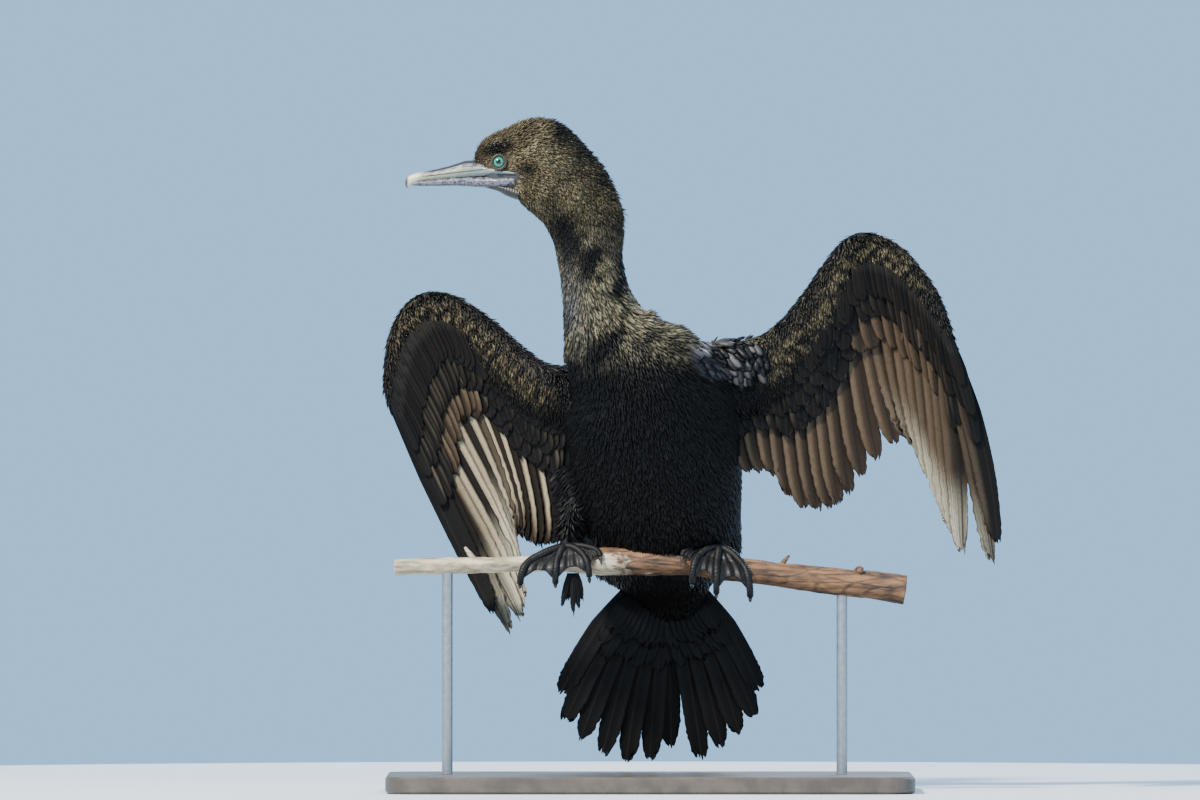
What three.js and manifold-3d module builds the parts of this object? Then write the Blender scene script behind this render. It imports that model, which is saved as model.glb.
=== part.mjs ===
// Little black cormorant drying its wings on a bare branch, a life-size museum model.
// Millimetres, +Z up. The bird's breast faces -Y and its head is turned towards -X.
// The origin is the centre of the stand's underside.

import * as THREE from "three";
import { mergeVertices } from "three/addons/utils/BufferGeometryUtils.js";
import Module from "manifold-3d";

const wasm = await Module();
wasm.setup();

// Stand
const BASE_LENGTH = 390;
const BASE_DEPTH = 200;
const BASE_HEIGHT = 12;
const BASE_CORNER = 24;
const ROD_RADIUS = 4;
const ROD_LEFT_X = -150;
const ROD_RIGHT_X = 142;

// Fit between neighbouring parts
const GAP = 0.3;

// Head and bill
const HEAD_Y = -26;
const EYE_X = -111.7;
const EYE_Z = 464.5;
const EYE_RADIUS = 5.6;
const EYE_INSET = 9.9;
const LID_OPENING = 4.5;
const SOCKET_RADIUS = 6.1;

// Feathers
const VANE_THICKNESS = 0.55;
const SHAFT_THICKNESS = 0.95;
const PRIMARIES = 10;
const SECONDARIES = 12;
const RECTRICES = 12;
const VANE_TILT = 0.15;

// Feet
const TOE_RADIUS = 2.9;
const WEB_THICKNESS = 1.3;

const point = (x, y, z) => new THREE.Vector3(x, y, z);
const lerp = THREE.MathUtils.lerp;
const clamp = THREE.MathUtils.clamp;

// Seeded draws, so that every build gives the same bird
let seed = 7;
function draw(low, high) {
  seed = (seed * 1664525 + 1013904223) % 4294967296;
  return low + ((high - low) * seed) / 4294967296;
}

function curve(rows) {
  return new THREE.CatmullRomCurve3(rows.map((row) => point(row[0], row[1], row[2])), false, "catmullrom", 0.5);
}

// A closed geometry becomes a solid, turned outside out if its faces point in
function solid(geometry) {
  const plain = new THREE.BufferGeometry();
  plain.setAttribute("position", geometry.attributes.position);
  plain.setIndex(geometry.index);
  const merged = mergeVertices(plain, 1e-4);
  const spots = Float32Array.from(merged.attributes.position.array);
  const faces = Uint32Array.from(merged.index.array);
  let volume = 0;
  for (let i = 0; i < faces.length; i += 3) {
    const [a, b, c] = [0, 1, 2].map((k) => point(...spots.slice(3 * faces[i + k], 3 * faces[i + k] + 3)));
    volume += a.dot(b.cross(c));
  }
  if (volume < 0) {
    for (let i = 0; i < faces.length; i += 3) {
      [faces[i], faces[i + 1]] = [faces[i + 1], faces[i]];
    }
  }
  return new wasm.Manifold(new wasm.Mesh({ numProp: 3, vertProperties: spots, triVerts: faces }));
}

const join = (solids) => solids.reduce((whole, next) => whole.add(next));
const cut = (whole, tools) => tools.reduce((left, tool) => left.subtract(tool), whole);

// A node keeps its largest closed surface, which drops scraps and fills sealed hollows
function largest(whole) {
  const pieces = whole.decompose().filter((piece) => piece.volume() > 0);
  return pieces.reduce((best, piece) => (piece.volume() > best.volume() ? piece : best));
}

// A rounded form along a path of stations: x, y, z, half width and half depth
function loft(stations, side, { rings = 14, sides = 16, caps = [3, 3], grow = 0, lumps = 0 } = {}) {
  const path = curve(stations);
  const girth = curve(stations.map((row) => [row[3], row[4], 0]));
  const geometry = new THREE.SphereGeometry(1, sides, rings);
  const spots = geometry.attributes.position;
  for (let i = 0; i < spots.count; i += 1) {
    const spot = point().fromBufferAttribute(spots, i);
    const ring = Math.round((Math.acos(clamp(spot.y, -1, 1)) / Math.PI) * rings);
    const along = clamp((ring - 1) / (rings - 2), 0, 1);
    const centre = path.getPoint(along);
    const ahead = path.getTangent(along);
    const right = point(...side);
    right.addScaledVector(ahead, -right.dot(ahead)).normalize();
    const up = ahead.clone().cross(right);
    const size = girth.getPoint(along);
    if (ring === 0) {
      centre.addScaledVector(ahead, -caps[0] - grow);
    } else if (ring === rings) {
      centre.addScaledVector(ahead, caps[1] + grow);
    } else {
      const turn = Math.atan2(spot.z, spot.x);
      const lump = 1 + lumps * Math.sin(3 * turn + 11 * along) * Math.cos(2 * turn - 37 * along);
      centre.addScaledVector(right, (size.x * lump + grow) * Math.cos(turn));
      centre.addScaledVector(up, (size.y * lump + grow) * Math.sin(turn));
    }
    spots.setXYZ(i, centre.x, centre.y, centre.z);
  }
  return solid(geometry);
}

// Width of a vane along its length: narrow at the quill, full, then rounding to the tip
function breadth(t, hold, tipWidth) {
  if (t < 0.35) {
    return lerp(0.45, 1, t / 0.35);
  }
  const past = clamp((t - hold) / (1 - hold), 0, 1);
  return tipWidth + (1 - tipWidth) * Math.sqrt(1 - past * past);
}

// A feather vane: a thin tapering plate that bows along its shaft and tilts about it
function vane(feather) {
  const { root, tip, dorsal, hand, lead, trail } = feather;
  const { tilt = VANE_TILT, bow = 0, sweep = 0, hold = 0.7, tipWidth = 0.3, reach = 1, lift = 0 } = feather;
  const { sunk = 0, stops = [0, 0.3, 0.6, 0.82, 0.94, 1], shafted = true } = feather;
  const ahead = tip.clone().sub(root).normalize();
  const back = dorsal.clone().addScaledVector(ahead, -dorsal.dot(ahead)).normalize();
  const leading = ahead.clone().cross(back).multiplyScalar(hand);
  const across = leading.clone().multiplyScalar(Math.cos(tilt)).addScaledVector(back, Math.sin(tilt));
  const up = back.clone().multiplyScalar(Math.cos(tilt)).addScaledVector(leading, -Math.sin(tilt));
  const spots = [];
  for (const t of stops) {
    const along = t * reach;
    const centre = root.clone().lerp(tip, along);
    const hump = 4 * along * (1 - along);
    centre.addScaledVector(back, bow * hump + lerp(sunk, lift, Math.min(1, t * 2.5)));
    centre.addScaledVector(leading, sweep * hump);
    const wide = breadth(t, hold, tipWidth);
    const edge = (VANE_THICKNESS / 2) * lerp(1.1, 0.6, t);
    const shaft = (SHAFT_THICKNESS / 2) * lerp(1.2, 0.35, t);
    const section = shafted
      ? [[lead, edge], [0, shaft], [-trail, edge], [-trail, -edge], [0, -shaft], [lead, -edge]]
      : [[lead, edge], [-trail, edge], [-trail, -edge], [lead, -edge]];
    for (const [out, rise] of section) {
      const spot = centre.clone().addScaledVector(across, out * wide).addScaledVector(up, rise);
      spots.push(spot.x, spot.y, spot.z);
    }
  }
  const ring = shafted ? 6 : 4;
  const faces = [];
  for (let row = 0; row + 1 < stops.length; row += 1) {
    for (let j = 0; j < ring; j += 1) {
      const next = (j + 1) % ring;
      const a = row * ring + j;
      const b = row * ring + next;
      const c = b + ring;
      const d = a + ring;
      if (j < ring / 2) {
        faces.push(a, b, c, a, c, d);
      } else {
        faces.push(a, b, d, b, c, d);
      }
    }
  }
  const last = (stops.length - 1) * ring;
  for (let j = 1; j + 1 < ring; j += 1) {
    faces.push(0, j + 1, j, last, last + j, last + j + 1);
  }
  const geometry = new THREE.BufferGeometry();
  geometry.setAttribute("position", new THREE.Float32BufferAttribute(spots, 3));
  geometry.setIndex(faces);
  return solid(geometry);
}

// A thin sheet over a grid of spots, thickened towards its inner side
function sheet(rows, inward, thickness) {
  const columns = rows[0].length;
  const spots = [];
  for (const depth of [0, thickness]) {
    rows.forEach((row) => row.forEach((spot) => {
      const place = spot.clone().addScaledVector(inward(spot), depth);
      spots.push(place.x, place.y, place.z);
    }));
  }
  const under = rows.length * columns;
  const at = (row, column) => row * columns + column;
  const faces = [];
  for (let row = 0; row + 1 < rows.length; row += 1) {
    for (let column = 0; column + 1 < columns; column += 1) {
      const a = at(row, column);
      const b = at(row, column + 1);
      const c = at(row + 1, column + 1);
      const d = at(row + 1, column);
      faces.push(a, b, c, a, c, d);
      faces.push(under + a, under + c, under + b, under + a, under + d, under + c);
    }
  }
  const rim = [];
  for (let column = 0; column < columns; column += 1) {
    rim.push(at(0, column));
  }
  for (let row = 1; row < rows.length; row += 1) {
    rim.push(at(row, columns - 1));
  }
  for (let column = columns - 2; column >= 0; column -= 1) {
    rim.push(at(rows.length - 1, column));
  }
  for (let row = rows.length - 2; row > 0; row -= 1) {
    rim.push(at(row, 0));
  }
  rim.forEach((a, i) => {
    const b = rim[(i + 1) % rim.length];
    faces.push(b, a, under + a, b, under + a, under + b);
  });
  const geometry = new THREE.BufferGeometry();
  geometry.setAttribute("position", new THREE.Float32BufferAttribute(spots, 3));
  geometry.setIndex(faces);
  return solid(geometry);
}

// Parts a solid at a plane and leaves the fitting gap between the two sides
function part(whole, place, direction) {
  const normal = point(...direction).normalize();
  const turn = new THREE.Quaternion().setFromUnitVectors(point(0, 0, 1), normal);
  const reach = 600;
  const halfSpace = (sign) => {
    const box = new THREE.BoxGeometry(2 * reach, 2 * reach, reach);
    box.translate(0, 0, sign * (reach / 2 + GAP / 2));
    box.applyQuaternion(turn);
    box.translate(...place);
    return solid(box);
  };
  return [largest(whole.intersect(halfSpace(-1))), largest(whole.intersect(halfSpace(1)))];
}

// Perch: height of its centre line and its radius at a place along it
const PERCH = [
  [-189, 165, 5.9],
  [-150, 166.3, 6.1],
  [-112, 167, 5.4],
  [-70, 168.5, 6.2],
  [-45, 169.5, 9.4],
  [-10, 170, 10.6],
  [30, 169.5, 10.2],
  [55, 165, 9.2],
  [90, 160.5, 8.8],
  [126, 156, 9.8],
  [160, 152.5, 10.2],
  [189, 148.5, 10.8],
];
function perchAt(x) {
  const last = PERCH.length - 1;
  const next = clamp(PERCH.findIndex((row) => row[0] > x), 1, last);
  const [from, to] = [PERCH[next - 1], PERCH[next]];
  const share = (x - from[0]) / (to[0] - from[0]);
  return { height: lerp(from[1], to[1], share), radius: lerp(from[2], to[2], share) };
}
function perchForm(grow) {
  const stations = PERCH.map(([x, z, radius]) => [x, 0, z, radius, radius]);
  const limb = loft(stations, [0, 1, 0], { rings: 23, sides: 8, caps: [0.8, 0.8], grow, lumps: 0.06 });
  const snag = loft([[-128, 0, 166, 2.6, 3], [-132, 1, 173, 2.2, 3.4], [-137, 2, 180, 1, 1.6]], [0, 1, 0], {
    rings: 6, sides: 6, caps: [1, 1.5], grow,
  });
  const stub = loft([[96, 0, 162, 2.4, 2.4], [99, -1, 169, 1.8, 1.8], [103, -2, 174, 1, 1]], [0, 1, 0], {
    rings: 6, sides: 6, caps: [1, 1], grow,
  });
  const knot = loft([[150, 0, 156, 4.6, 4.6], [154, -5, 162, 3.6, 3.6], [156, -7, 165, 2.4, 2.4]], [1, 0, 0], {
    rings: 6, sides: 8, caps: [1, 1], grow,
  });
  return join([limb, snag, stub, knot]);
}
const perch = perchForm(0);
const perchRoom = perchForm(GAP);

// Head and neck, one form from the brow to the shoulders
const HEAD_STATIONS = [
  [-129.5, HEAD_Y, 462, 4.5, 6],
  [-123.5, HEAD_Y, 463.6, 8.5, 16],
  [-115, HEAD_Y, 465, 12.5, 22.5],
  [-101.4, HEAD_Y, 465.4, 16.5, 27.5],
  [-83.7, HEAD_Y, 465.4, 20, 32.5],
  [-72.1, HEAD_Y, 455.1, 21, 32.5],
  [-57.9, HEAD_Y, 440.2, 20.5, 30.8],
  [-47.7, HEAD_Y, 418.8, 20, 29],
  [-44.4, -25, 393.7, 20.5, 25.5],
  [-41, -24, 372, 23, 25.5],
  [-36, -21, 352, 29, 30],
  [-29, -16, 332, 34, 38],
];
const headAndNeckForm = (grow) => loft(HEAD_STATIONS, [0, 1, 0], { rings: 17, sides: 14, caps: [1.5, 4], grow });

// Torso, leaning back from the breast to the tail
const TORSO_STATIONS = [
  [-30, -22, 344, 34, 22],
  [-22, -20, 326, 47, 34],
  [-7, -13, 302, 61, 46],
  [1, -2, 275, 67, 54],
  [5, 14, 238, 66, 56],
  [5, 30, 205, 65, 52],
  [7, 45, 178, 62, 40],
  [11, 60, 152, 38, 25],
  [11, 66, 134, 30, 15],
  [11, 70, 122, 22, 7],
];
const TORSO_SIDE = [0.96, -0.28, 0];
const torsoForm = (grow) => loft(TORSO_STATIONS, TORSO_SIDE, { rings: 15, sides: 18, caps: [4, 2], grow });
const fleshRoom = join([torsoForm(GAP), headAndNeckForm(GAP)]);
const flesh = join([torsoForm(0), headAndNeckForm(0)]);
const [headWhole, belowHead] = part(flesh, [-46.5, HEAD_Y, 406], [0.14, 0, -1]);
const [neck, belowNeck] = part(belowHead, [-24, -18, 335], [0.35, 0.25, -1]);
const [torsoWhole, tailRoot] = part(belowNeck, [11, 58, 152], [0, 0.42, -0.9]);

// Eyes and lids
function eyeForm(way, grow) {
  const ball = new THREE.SphereGeometry(EYE_RADIUS + grow, 12, 9);
  ball.rotateX(Math.PI / 2);
  ball.translate(EYE_X, HEAD_Y + way * EYE_INSET, EYE_Z);
  return solid(ball);
}
function socketForm(way, radius, from, to) {
  const bore = new THREE.CylinderGeometry(radius, radius, to - from, 14);
  bore.translate(EYE_X, HEAD_Y + way * (EYE_INSET + (from + to) / 2), EYE_Z);
  return solid(bore);
}
const lidForm = (way) => cut(socketForm(way, SOCKET_RADIUS - GAP, 2.9, 5.2), [
  eyeForm(way, GAP),
  socketForm(way, LID_OPENING, 4, 9),
]);

// Bill: the mouth runs a little upwards from the hooked tip to the gape
const UPPER_BILL = [
  [-118, HEAD_Y, 460, 7.4, 7.2],
  [-134, HEAD_Y, 459.6, 6.6, 6.3],
  [-147, HEAD_Y, 457.2, 5, 4.8],
  [-160, HEAD_Y, 455.2, 3.9, 3.7],
  [-170, HEAD_Y, 453.8, 3.3, 3.4],
  [-177, HEAD_Y, 451, 2.7, 3.3],
  [-179.3, HEAD_Y, 446.9, 1.5, 1.8],
];
const LOWER_BILL = [
  [-112, HEAD_Y, 450, 6, 5],
  [-128, HEAD_Y, 450.2, 5.4, 3.8],
  [-143, HEAD_Y, 450.4, 4.3, 3.1],
  [-158, HEAD_Y, 449.6, 3.3, 2.4],
  [-169, HEAD_Y, 449, 2.6, 1.8],
  [-175, HEAD_Y, 448.6, 1.9, 1.3],
];
const SIDEWAYS = [0, 1, 0];
const upperBillForm = (grow) => loft(UPPER_BILL, SIDEWAYS, { rings: 11, sides: 12, caps: [2, 0.8], grow });
const lowerBillForm = (grow) => loft(LOWER_BILL, SIDEWAYS, { rings: 9, sides: 12, caps: [2, 0.6], grow });
const gularForm = (grow) => loft(
  [[-122, HEAD_Y, 446.6, 4, 3], [-112, HEAD_Y, 444, 7, 5.2], [-104, HEAD_Y, 441.5, 7.5, 5.5]],
  SIDEWAYS,
  { rings: 7, sides: 12, caps: [2, 2], grow },
);
const grooves = [-1, 1].map((way) => loft(
  [
    [-132, HEAD_Y + way * 6.4, 461.6, 0.7, 0.5],
    [-148, HEAD_Y + way * 4.9, 458.4, 0.6, 0.4],
    [-169, HEAD_Y + way * 3.2, 454.6, 0.5, 0.3],
  ],
  SIDEWAYS,
  { rings: 7, sides: 6, caps: [1, 1] },
));
const nostrils = [-1, 1].map((way) => loft(
  [[-133.5, HEAD_Y + way * 6.6, 461.4, 1.1, 0.7], [-138.5, HEAD_Y + way * 6, 460.4, 0.9, 0.5]],
  SIDEWAYS,
  { rings: 4, sides: 6, caps: [0.6, 0.6] },
));
const sockets = [-1, 1].map((way) => socketForm(way, SOCKET_RADIUS, -EYE_RADIUS - GAP, 12));
const faceRoom = [...sockets, upperBillForm(GAP), lowerBillForm(GAP), gularForm(GAP)];
const head = largest(cut(headWhole, faceRoom));
const billUpper = largest(cut(upperBillForm(0), [...grooves, ...nostrils]));
const billLower = largest(cut(lowerBillForm(0), [upperBillForm(GAP)]));
const gular = largest(cut(gularForm(0), [upperBillForm(GAP), lowerBillForm(GAP)]));

// Wings: bones from shoulder to hand, with half chord and half thickness, and where the tips fall
const WRIST = 0.56;
const HAND_END = 0.97;
const ELBOW = 0.08;
const LEFT_WING = {
  hand: 1,
  outerSweep: 6,
  bone: [
    [46, -14, 304, 30, 12],
    [68, -12, 306, 29, 11],
    [90, -8, 316, 25, 9.5],
    [109, -5, 334, 21, 8.5],
    [126, -3, 357, 19, 8],
    [140, -1, 380, 17, 7.5],
    [156, 0, 399, 16, 7],
    [176, -1.5, 396, 13, 6.2],
    [193, -4, 382, 11, 5.6],
    [208, -7, 363, 9, 5],
    [218, -10, 343, 6.5, 4.2],
    [225, -12, 325, 4, 3.4],
  ],
  secondaryTips: [
    [75, -6, 236],
    [92, -3, 234],
    [112, 0, 210],
    [130, 2, 209],
    [144, 4, 216],
    [162, 6, 239],
    [186, 8, 261],
  ],
  primaryTips: [
    [190, 10, 263],
    [197, 9, 256],
    [204, 8, 244],
    [209, 7, 232],
    [215, 6, 216],
    [221, 5, 200],
    [226, 4, 190],
    [232, 3, 178],
    [254, 1.5, 171],
    [258, 0, 184],
  ],
  dorsalIn: [-0.145, 1, 0.03],
  dorsalOut: [0, 1, 0],
};
const RIGHT_WING = {
  hand: -1,
  outerSweep: 1,
  bone: [
    [-44, 10, 288, 26, 11],
    [-64, 14, 291, 25, 10],
    [-84, 20, 298, 22, 9.5],
    [-104, 27, 314, 20, 8.5],
    [-126, 34, 336, 18, 8],
    [-148, 39, 353, 16, 7.5],
    [-166, 42, 357, 14, 6.8],
    [-180, 42.5, 348, 10.5, 6],
    [-188.5, 42, 333, 8.5, 5.4],
    [-192.5, 41, 315, 7, 4.8],
    [-194, 40, 298, 5.5, 4.2],
    [-192.5, 38.5, 282, 3.5, 3.4],
  ],
  secondaryTips: [
    [-61, 34, 207],
    [-67, 35, 188],
    [-76, 37, 181],
    [-87, 38, 183],
    [-96, 39, 189],
    [-101, 40, 193],
  ],
  primaryTips: [
    [-102, 40, 191],
    [-102, 39.2, 184],
    [-101, 38.4, 176],
    [-99, 37.5, 166],
    [-97, 36.5, 155],
    [-95, 35.5, 144],
    [-95, 34.5, 135],
    [-97, 33.5, 128],
    [-105, 32, 118],
    [-117, 31, 131],
  ],
  dorsalIn: [0.32, 1, 0.1],
  dorsalOut: [0.02, 1, 0],
};

function wingForm(plan) {
  const bone = curve(plan.bone);
  const size = curve(plan.bone.map((row) => [row[3], row[4], 0]));
  const secondaryTips = curve(plan.secondaryTips);
  const primaryTips = curve(plan.primaryTips);
  const dorsalAt = (u) => point(...plan.dorsalIn)
    .lerp(point(...plan.dorsalOut), THREE.MathUtils.smoothstep(u, 0.38, 0.8)).normalize();

  // Where a feather on the arm or hand has its root and its tip
  function layAt(u) {
    const root = bone.getPoint(u);
    const tip = u < WRIST
      ? secondaryTips.getPoint((u - ELBOW) / (WRIST - ELBOW))
      : primaryTips.getPoint(clamp((u - WRIST) / (HAND_END - WRIST), 0, 1));
    return { root, tip, dorsal: dorsalAt(u) };
  }

  // How far a feather bows to the back and sweeps to the front of the wing
  function bendAt(u) {
    const out = clamp((u - WRIST) / (HAND_END - WRIST), 0, 1);
    return { bow: lerp(3, 4, out), sweep: lerp(-3, plan.outerSweep, out) };
  }

  const vanes = [];
  for (let i = 0; i < SECONDARIES; i += 1) {
    const u = lerp(ELBOW, WRIST - 0.015, i / (SECONDARIES - 1));
    const { root, tip, dorsal } = layAt(u);
    vanes.push(vane({
      root, tip, dorsal, hand: plan.hand,
      lead: draw(6.2, 7), trail: draw(8.6, 9.6), ...bendAt(u), hold: 0.78, tipWidth: 0.35,
      stops: [0, 0.3, 0.62, 0.88, 1], shafted: false,
    }));
  }
  for (let i = 0; i < PRIMARIES; i += 1) {
    const u = lerp(WRIST + 0.02, HAND_END, i / (PRIMARIES - 1));
    const root = layAt(u).root;
    const tip = primaryTips.getPoint(i / (PRIMARIES - 1));
    vanes.push(vane({
      root, tip, dorsal: dorsalAt(u), hand: plan.hand,
      lead: lerp(5.5, 4.4, i / PRIMARIES), trail: draw(11, 12), ...bendAt(u), hold: 0.6, tipWidth: 0.22,
      stops: [0, 0.25, 0.5, 0.75, 0.92, 1],
    }));
  }

  // Coverts over the bases of the flight feathers, tier by tier on both faces
  const tiers = [
    { count: 15, from: 0.09, to: 0.84, reach: 0.46, lift: -4, half: 8, stops: [0, 0.45, 0.82, 1] },
    { count: 9, from: 0.12, to: 0.52, reach: 0.31, lift: -7.6, half: 8, stops: [0, 0.7, 1] },
    { count: 13, from: 0.09, to: 0.84, reach: 0.44, lift: 4, half: 8.6, stops: [0, 0.45, 0.82, 1] },
    { count: 7, from: 0.12, to: 0.52, reach: 0.29, lift: 7.6, half: 8.8, stops: [0, 0.7, 1] },
  ];
  for (const tier of tiers) {
    for (let i = 0; i < tier.count; i += 1) {
      const u = lerp(tier.from, tier.to, i / (tier.count - 1));
      const { root, tip, dorsal } = layAt(u);
      const { bow, sweep } = bendAt(u);
      const depth = size.getPoint(u).y * 0.6;
      const slim = lerp(1, 0.7, THREE.MathUtils.smoothstep(u, 0.5, 0.8));
      vanes.push(vane({
        root, tip, dorsal, hand: plan.hand, bow, sweep,
        reach: tier.reach * draw(0.95, 1.05), lift: tier.lift, sunk: clamp(tier.lift, -depth, depth),
        lead: tier.half * 0.8 * slim, trail: tier.half * draw(1, 1.12) * slim,
        hold: 0.6, tipWidth: 0.4, stops: tier.stops, shafted: false,
      }));
    }
  }
  const flat = plan.bone.map(([x, y, z, chord, thick]) => [x, y, z, thick, chord]);
  const arm = loft(flat, plan.dorsalIn, { rings: 17, sides: 10, caps: [3, 2] });
  return largest(cut(join([arm, ...vanes]), [fleshRoom]));
}
const wingLeft = wingForm(LEFT_WING);
const wingRight = wingForm(RIGHT_WING);

// Tail: twelve stiff feathers fanned from the rump, with coverts on both faces
const TAIL_ROOT = [11, 64, 143];
const TAIL_SPREAD = 60;
const TAIL_TIPS = [
  [-66, 74, 72],
  [-63, 76, 51],
  [-51, 78, 38],
  [-35, 80, 26],
  [-18, 82, 20],
  [0, 83, 22],
  [16, 83, 31],
  [39, 82, 22],
  [54, 80, 31],
  [67, 78, 41],
  [78, 76, 54],
  [82, 74, 74],
];
function tailForm() {
  const tips = curve(TAIL_TIPS);
  const backwards = point(0, 1, 0.1);
  const vanes = [];
  for (let i = 0; i < RECTRICES; i += 1) {
    const share = i / (RECTRICES - 1);
    const hand = share < 0.5 ? -1 : 1;
    const outer = Math.abs(share - 0.5) * 2;
    const root = point(
      TAIL_ROOT[0] + TAIL_SPREAD * (share - 0.5),
      TAIL_ROOT[1] + 3 - 7 * outer + (i === RECTRICES / 2 ? 2 : 0),
      TAIL_ROOT[2] + 3,
    );
    const tip = tips.getPoint(share);
    tip.y += i === RECTRICES / 2 ? 2 : 0;
    vanes.push(vane({
      root, tip, dorsal: backwards, hand,
      lead: draw(5.4, 6), trail: draw(7, 8), tilt: 0.12, bow: -2, sweep: outer * 2,
      hold: 0.72, tipWidth: 0.2, stops: [0, 0.35, 0.7, 0.9, 1],
    }));
  }
  for (const lift of [-5.4, 6.4]) {
    const count = lift < 0 ? 8 : 7;
    for (let i = 0; i < count; i += 1) {
      const share = lerp(0.05, 0.95, i / (count - 1));
      const hand = share < 0.5 ? -1 : 1;
      const root = point(TAIL_ROOT[0] + TAIL_SPREAD * 0.8 * (share - 0.5), TAIL_ROOT[1] + lift + 1.2 * (i % 2), TAIL_ROOT[2] + 3);
      const tip = root.clone().lerp(tips.getPoint(share), draw(0.4, 0.47));
      tip.y += lift * 1.2 + 1.2 * (i % 2);
      vanes.push(vane({
        root, tip, dorsal: backwards, hand, lead: 5.4, trail: 6.8, tilt: 0.11,
        hold: 0.55, tipWidth: 0.4, stops: [0, 0.65, 1], shafted: false,
      }));
    }
  }
  return largest(join([tailRoot, ...vanes]));
}
const tail = tailForm();

// Feet: four webbed toes each, hooked over the front of the perch
const LEFT_FOOT = {
  ankle: [52, -1],
  toes: [74, 49, 31, 24],
  hook: [140, 140, 132, 70],
  drape: [12, 13, 9, 0],
  thin: [1, 0.95, 0.9, 0.8],
};
const RIGHT_FOOT = {
  ankle: [-63, -1],
  toes: [-96, -70, -45, -37],
  hook: [142, 142, 128, 70],
  drape: [9, 9, 5, 0],
  thin: [1, 0.95, 0.9, 0.8],
};

// A spot on the perch's surface: place along it, degrees forward from the top, and height off it
function onPerch(x, degrees, height) {
  const { height: z, radius } = perchAt(x);
  const turn = THREE.MathUtils.degToRad(degrees);
  return point(x, -(radius + height) * Math.sin(turn), z + (radius + height) * Math.cos(turn));
}
function toePath(foot, index) {
  return (t) => onPerch(
    lerp(foot.ankle[0], foot.toes[index], Math.sin((t * Math.PI) / 2) ** 0.8),
    lerp(4, foot.hook[index], t),
    TOE_RADIUS + lerp(2.2, 0.2, Math.min(1, t * 2.5)) + foot.drape[index] * THREE.MathUtils.smoothstep(t, 0.4, 1),
  );
}
function footForm(foot, leg) {
  const pieces = [];
  const claws = [];
  foot.toes.forEach((_, index) => {
    const path = toePath(foot, index);
    const stations = [0, 0.2, 0.4, 0.6, 0.8, 1].map((t) => {
      const spot = path(t);
      const girth = foot.thin[index] * TOE_RADIUS * lerp(1.1, 0.82, t);
      return [spot.x, spot.y, spot.z, girth, girth * 0.95];
    });
    pieces.push(loft(stations, [1, 0.1, 0], { rings: 7, sides: 5, caps: [1.5, 1.4] }));
    const end = path(1);
    const before = path(0.9);
    const ahead = end.clone().sub(before).normalize();
    const inward = point(0, 0, perchAt(end.x).height).sub(point(0, end.y, end.z)).normalize();
    const clawAt = (reach, dip) => end.clone().addScaledVector(ahead, reach).addScaledVector(inward, dip);
    const rows = [[1.8 + GAP, -0.2, 1.5], [3.6, 0.1, 1.25], [5.6, 0.9, 0.85], [7.4, 2.2, 0.4]];
    claws.push(rows.map(([reach, dip, girth]) => [...clawAt(reach, dip).toArray(), girth, girth]));
  });
  for (let index = 0; index < 3; index += 1) {
    const [near, far] = [toePath(foot, index), toePath(foot, index + 1)];
    const rows = [0.06, 0.35, 0.65, 0.92].map((t) => [0, 0.5, 1].map((share) => {
      const scallop = t * (1 - 0.22 * Math.sin(Math.PI * share) * t);
      return near(scallop).lerp(far(scallop), share);
    }));
    const inward = (spot) => point(0, -spot.y, perchAt(spot.x).height - spot.z).normalize();
    pieces.push(sheet(rows, inward, WEB_THICKNESS));
  }
  pieces.push(leg);
  const whole = cut(join(pieces), [perchRoom]);
  return { whole, claws: claws.map((rows) => loft(rows, [1, 0.1, 0], { rings: 5, sides: 5, caps: [0.4, 0.5] })) };
}
function legForm([x, y], inward, grow = 0) {
  const top = perchAt(x);
  const z = top.height + top.radius;
  return loft(
    [[x, y, z + 4.5, 4.2, 3.6], [x + inward * 2, y + 5, z + 11, 3.4, 3], [x + inward * 6, y + 17, z + 24, 3.6, 3.4],
      [x + inward * 9, y + 27, z + 36, 5, 5]],
    [1, 0, 0],
    { rings: 7, sides: 8, caps: [2.5, 3], grow },
  );
}
const leftFoot = footForm(LEFT_FOOT, legForm(LEFT_FOOT.ankle, -1));
const rightFoot = footForm(RIGHT_FOOT, legForm(RIGHT_FOOT.ankle, 1));
function partLeg(foot, [x, y]) {
  const top = perchAt(x);
  const place = [x, y + 4, top.height + top.radius + 9.5];
  const [sole, shank] = part(foot.whole, place, [0, 0.55, 1]);
  return { sole: largest(cut(sole, [fleshRoom])), shank };
}
const left = partLeg(leftFoot, LEFT_FOOT.ankle);
const right = partLeg(rightFoot, RIGHT_FOOT.ankle);
const legRoom = [legForm(LEFT_FOOT.ankle, -1, GAP), legForm(RIGHT_FOOT.ankle, 1, GAP)];
const torso = largest(cut(torsoWhole, [...legRoom, perchRoom]));

// Stand: a flat rounded base and two rods up to the perch
function baseForm() {
  const [w, d, r] = [BASE_LENGTH / 2, BASE_DEPTH / 2, BASE_CORNER];
  const outline = new THREE.Shape();
  outline.moveTo(-w + r, -d);
  outline.lineTo(w - r, -d);
  outline.absarc(w - r, -d + r, r, -Math.PI / 2, 0);
  outline.lineTo(w, d - r);
  outline.absarc(w - r, d - r, r, 0, Math.PI / 2);
  outline.lineTo(-w + r, d);
  outline.absarc(-w + r, d - r, r, Math.PI / 2, Math.PI);
  outline.lineTo(-w, -d + r);
  outline.absarc(-w + r, -d + r, r, Math.PI, 1.5 * Math.PI);
  const bevel = 1.5;
  const slab = new THREE.ExtrudeGeometry(outline, {
    depth: BASE_HEIGHT - 2 * bevel, bevelEnabled: true, bevelSize: bevel, bevelOffset: -bevel,
    bevelThickness: bevel, bevelSegments: 1, curveSegments: 5,
  });
  slab.translate(0, 0, bevel);
  return solid(mergeVertices(new THREE.BufferGeometry().setAttribute("position", slab.attributes.position), 1e-4));
}
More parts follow.
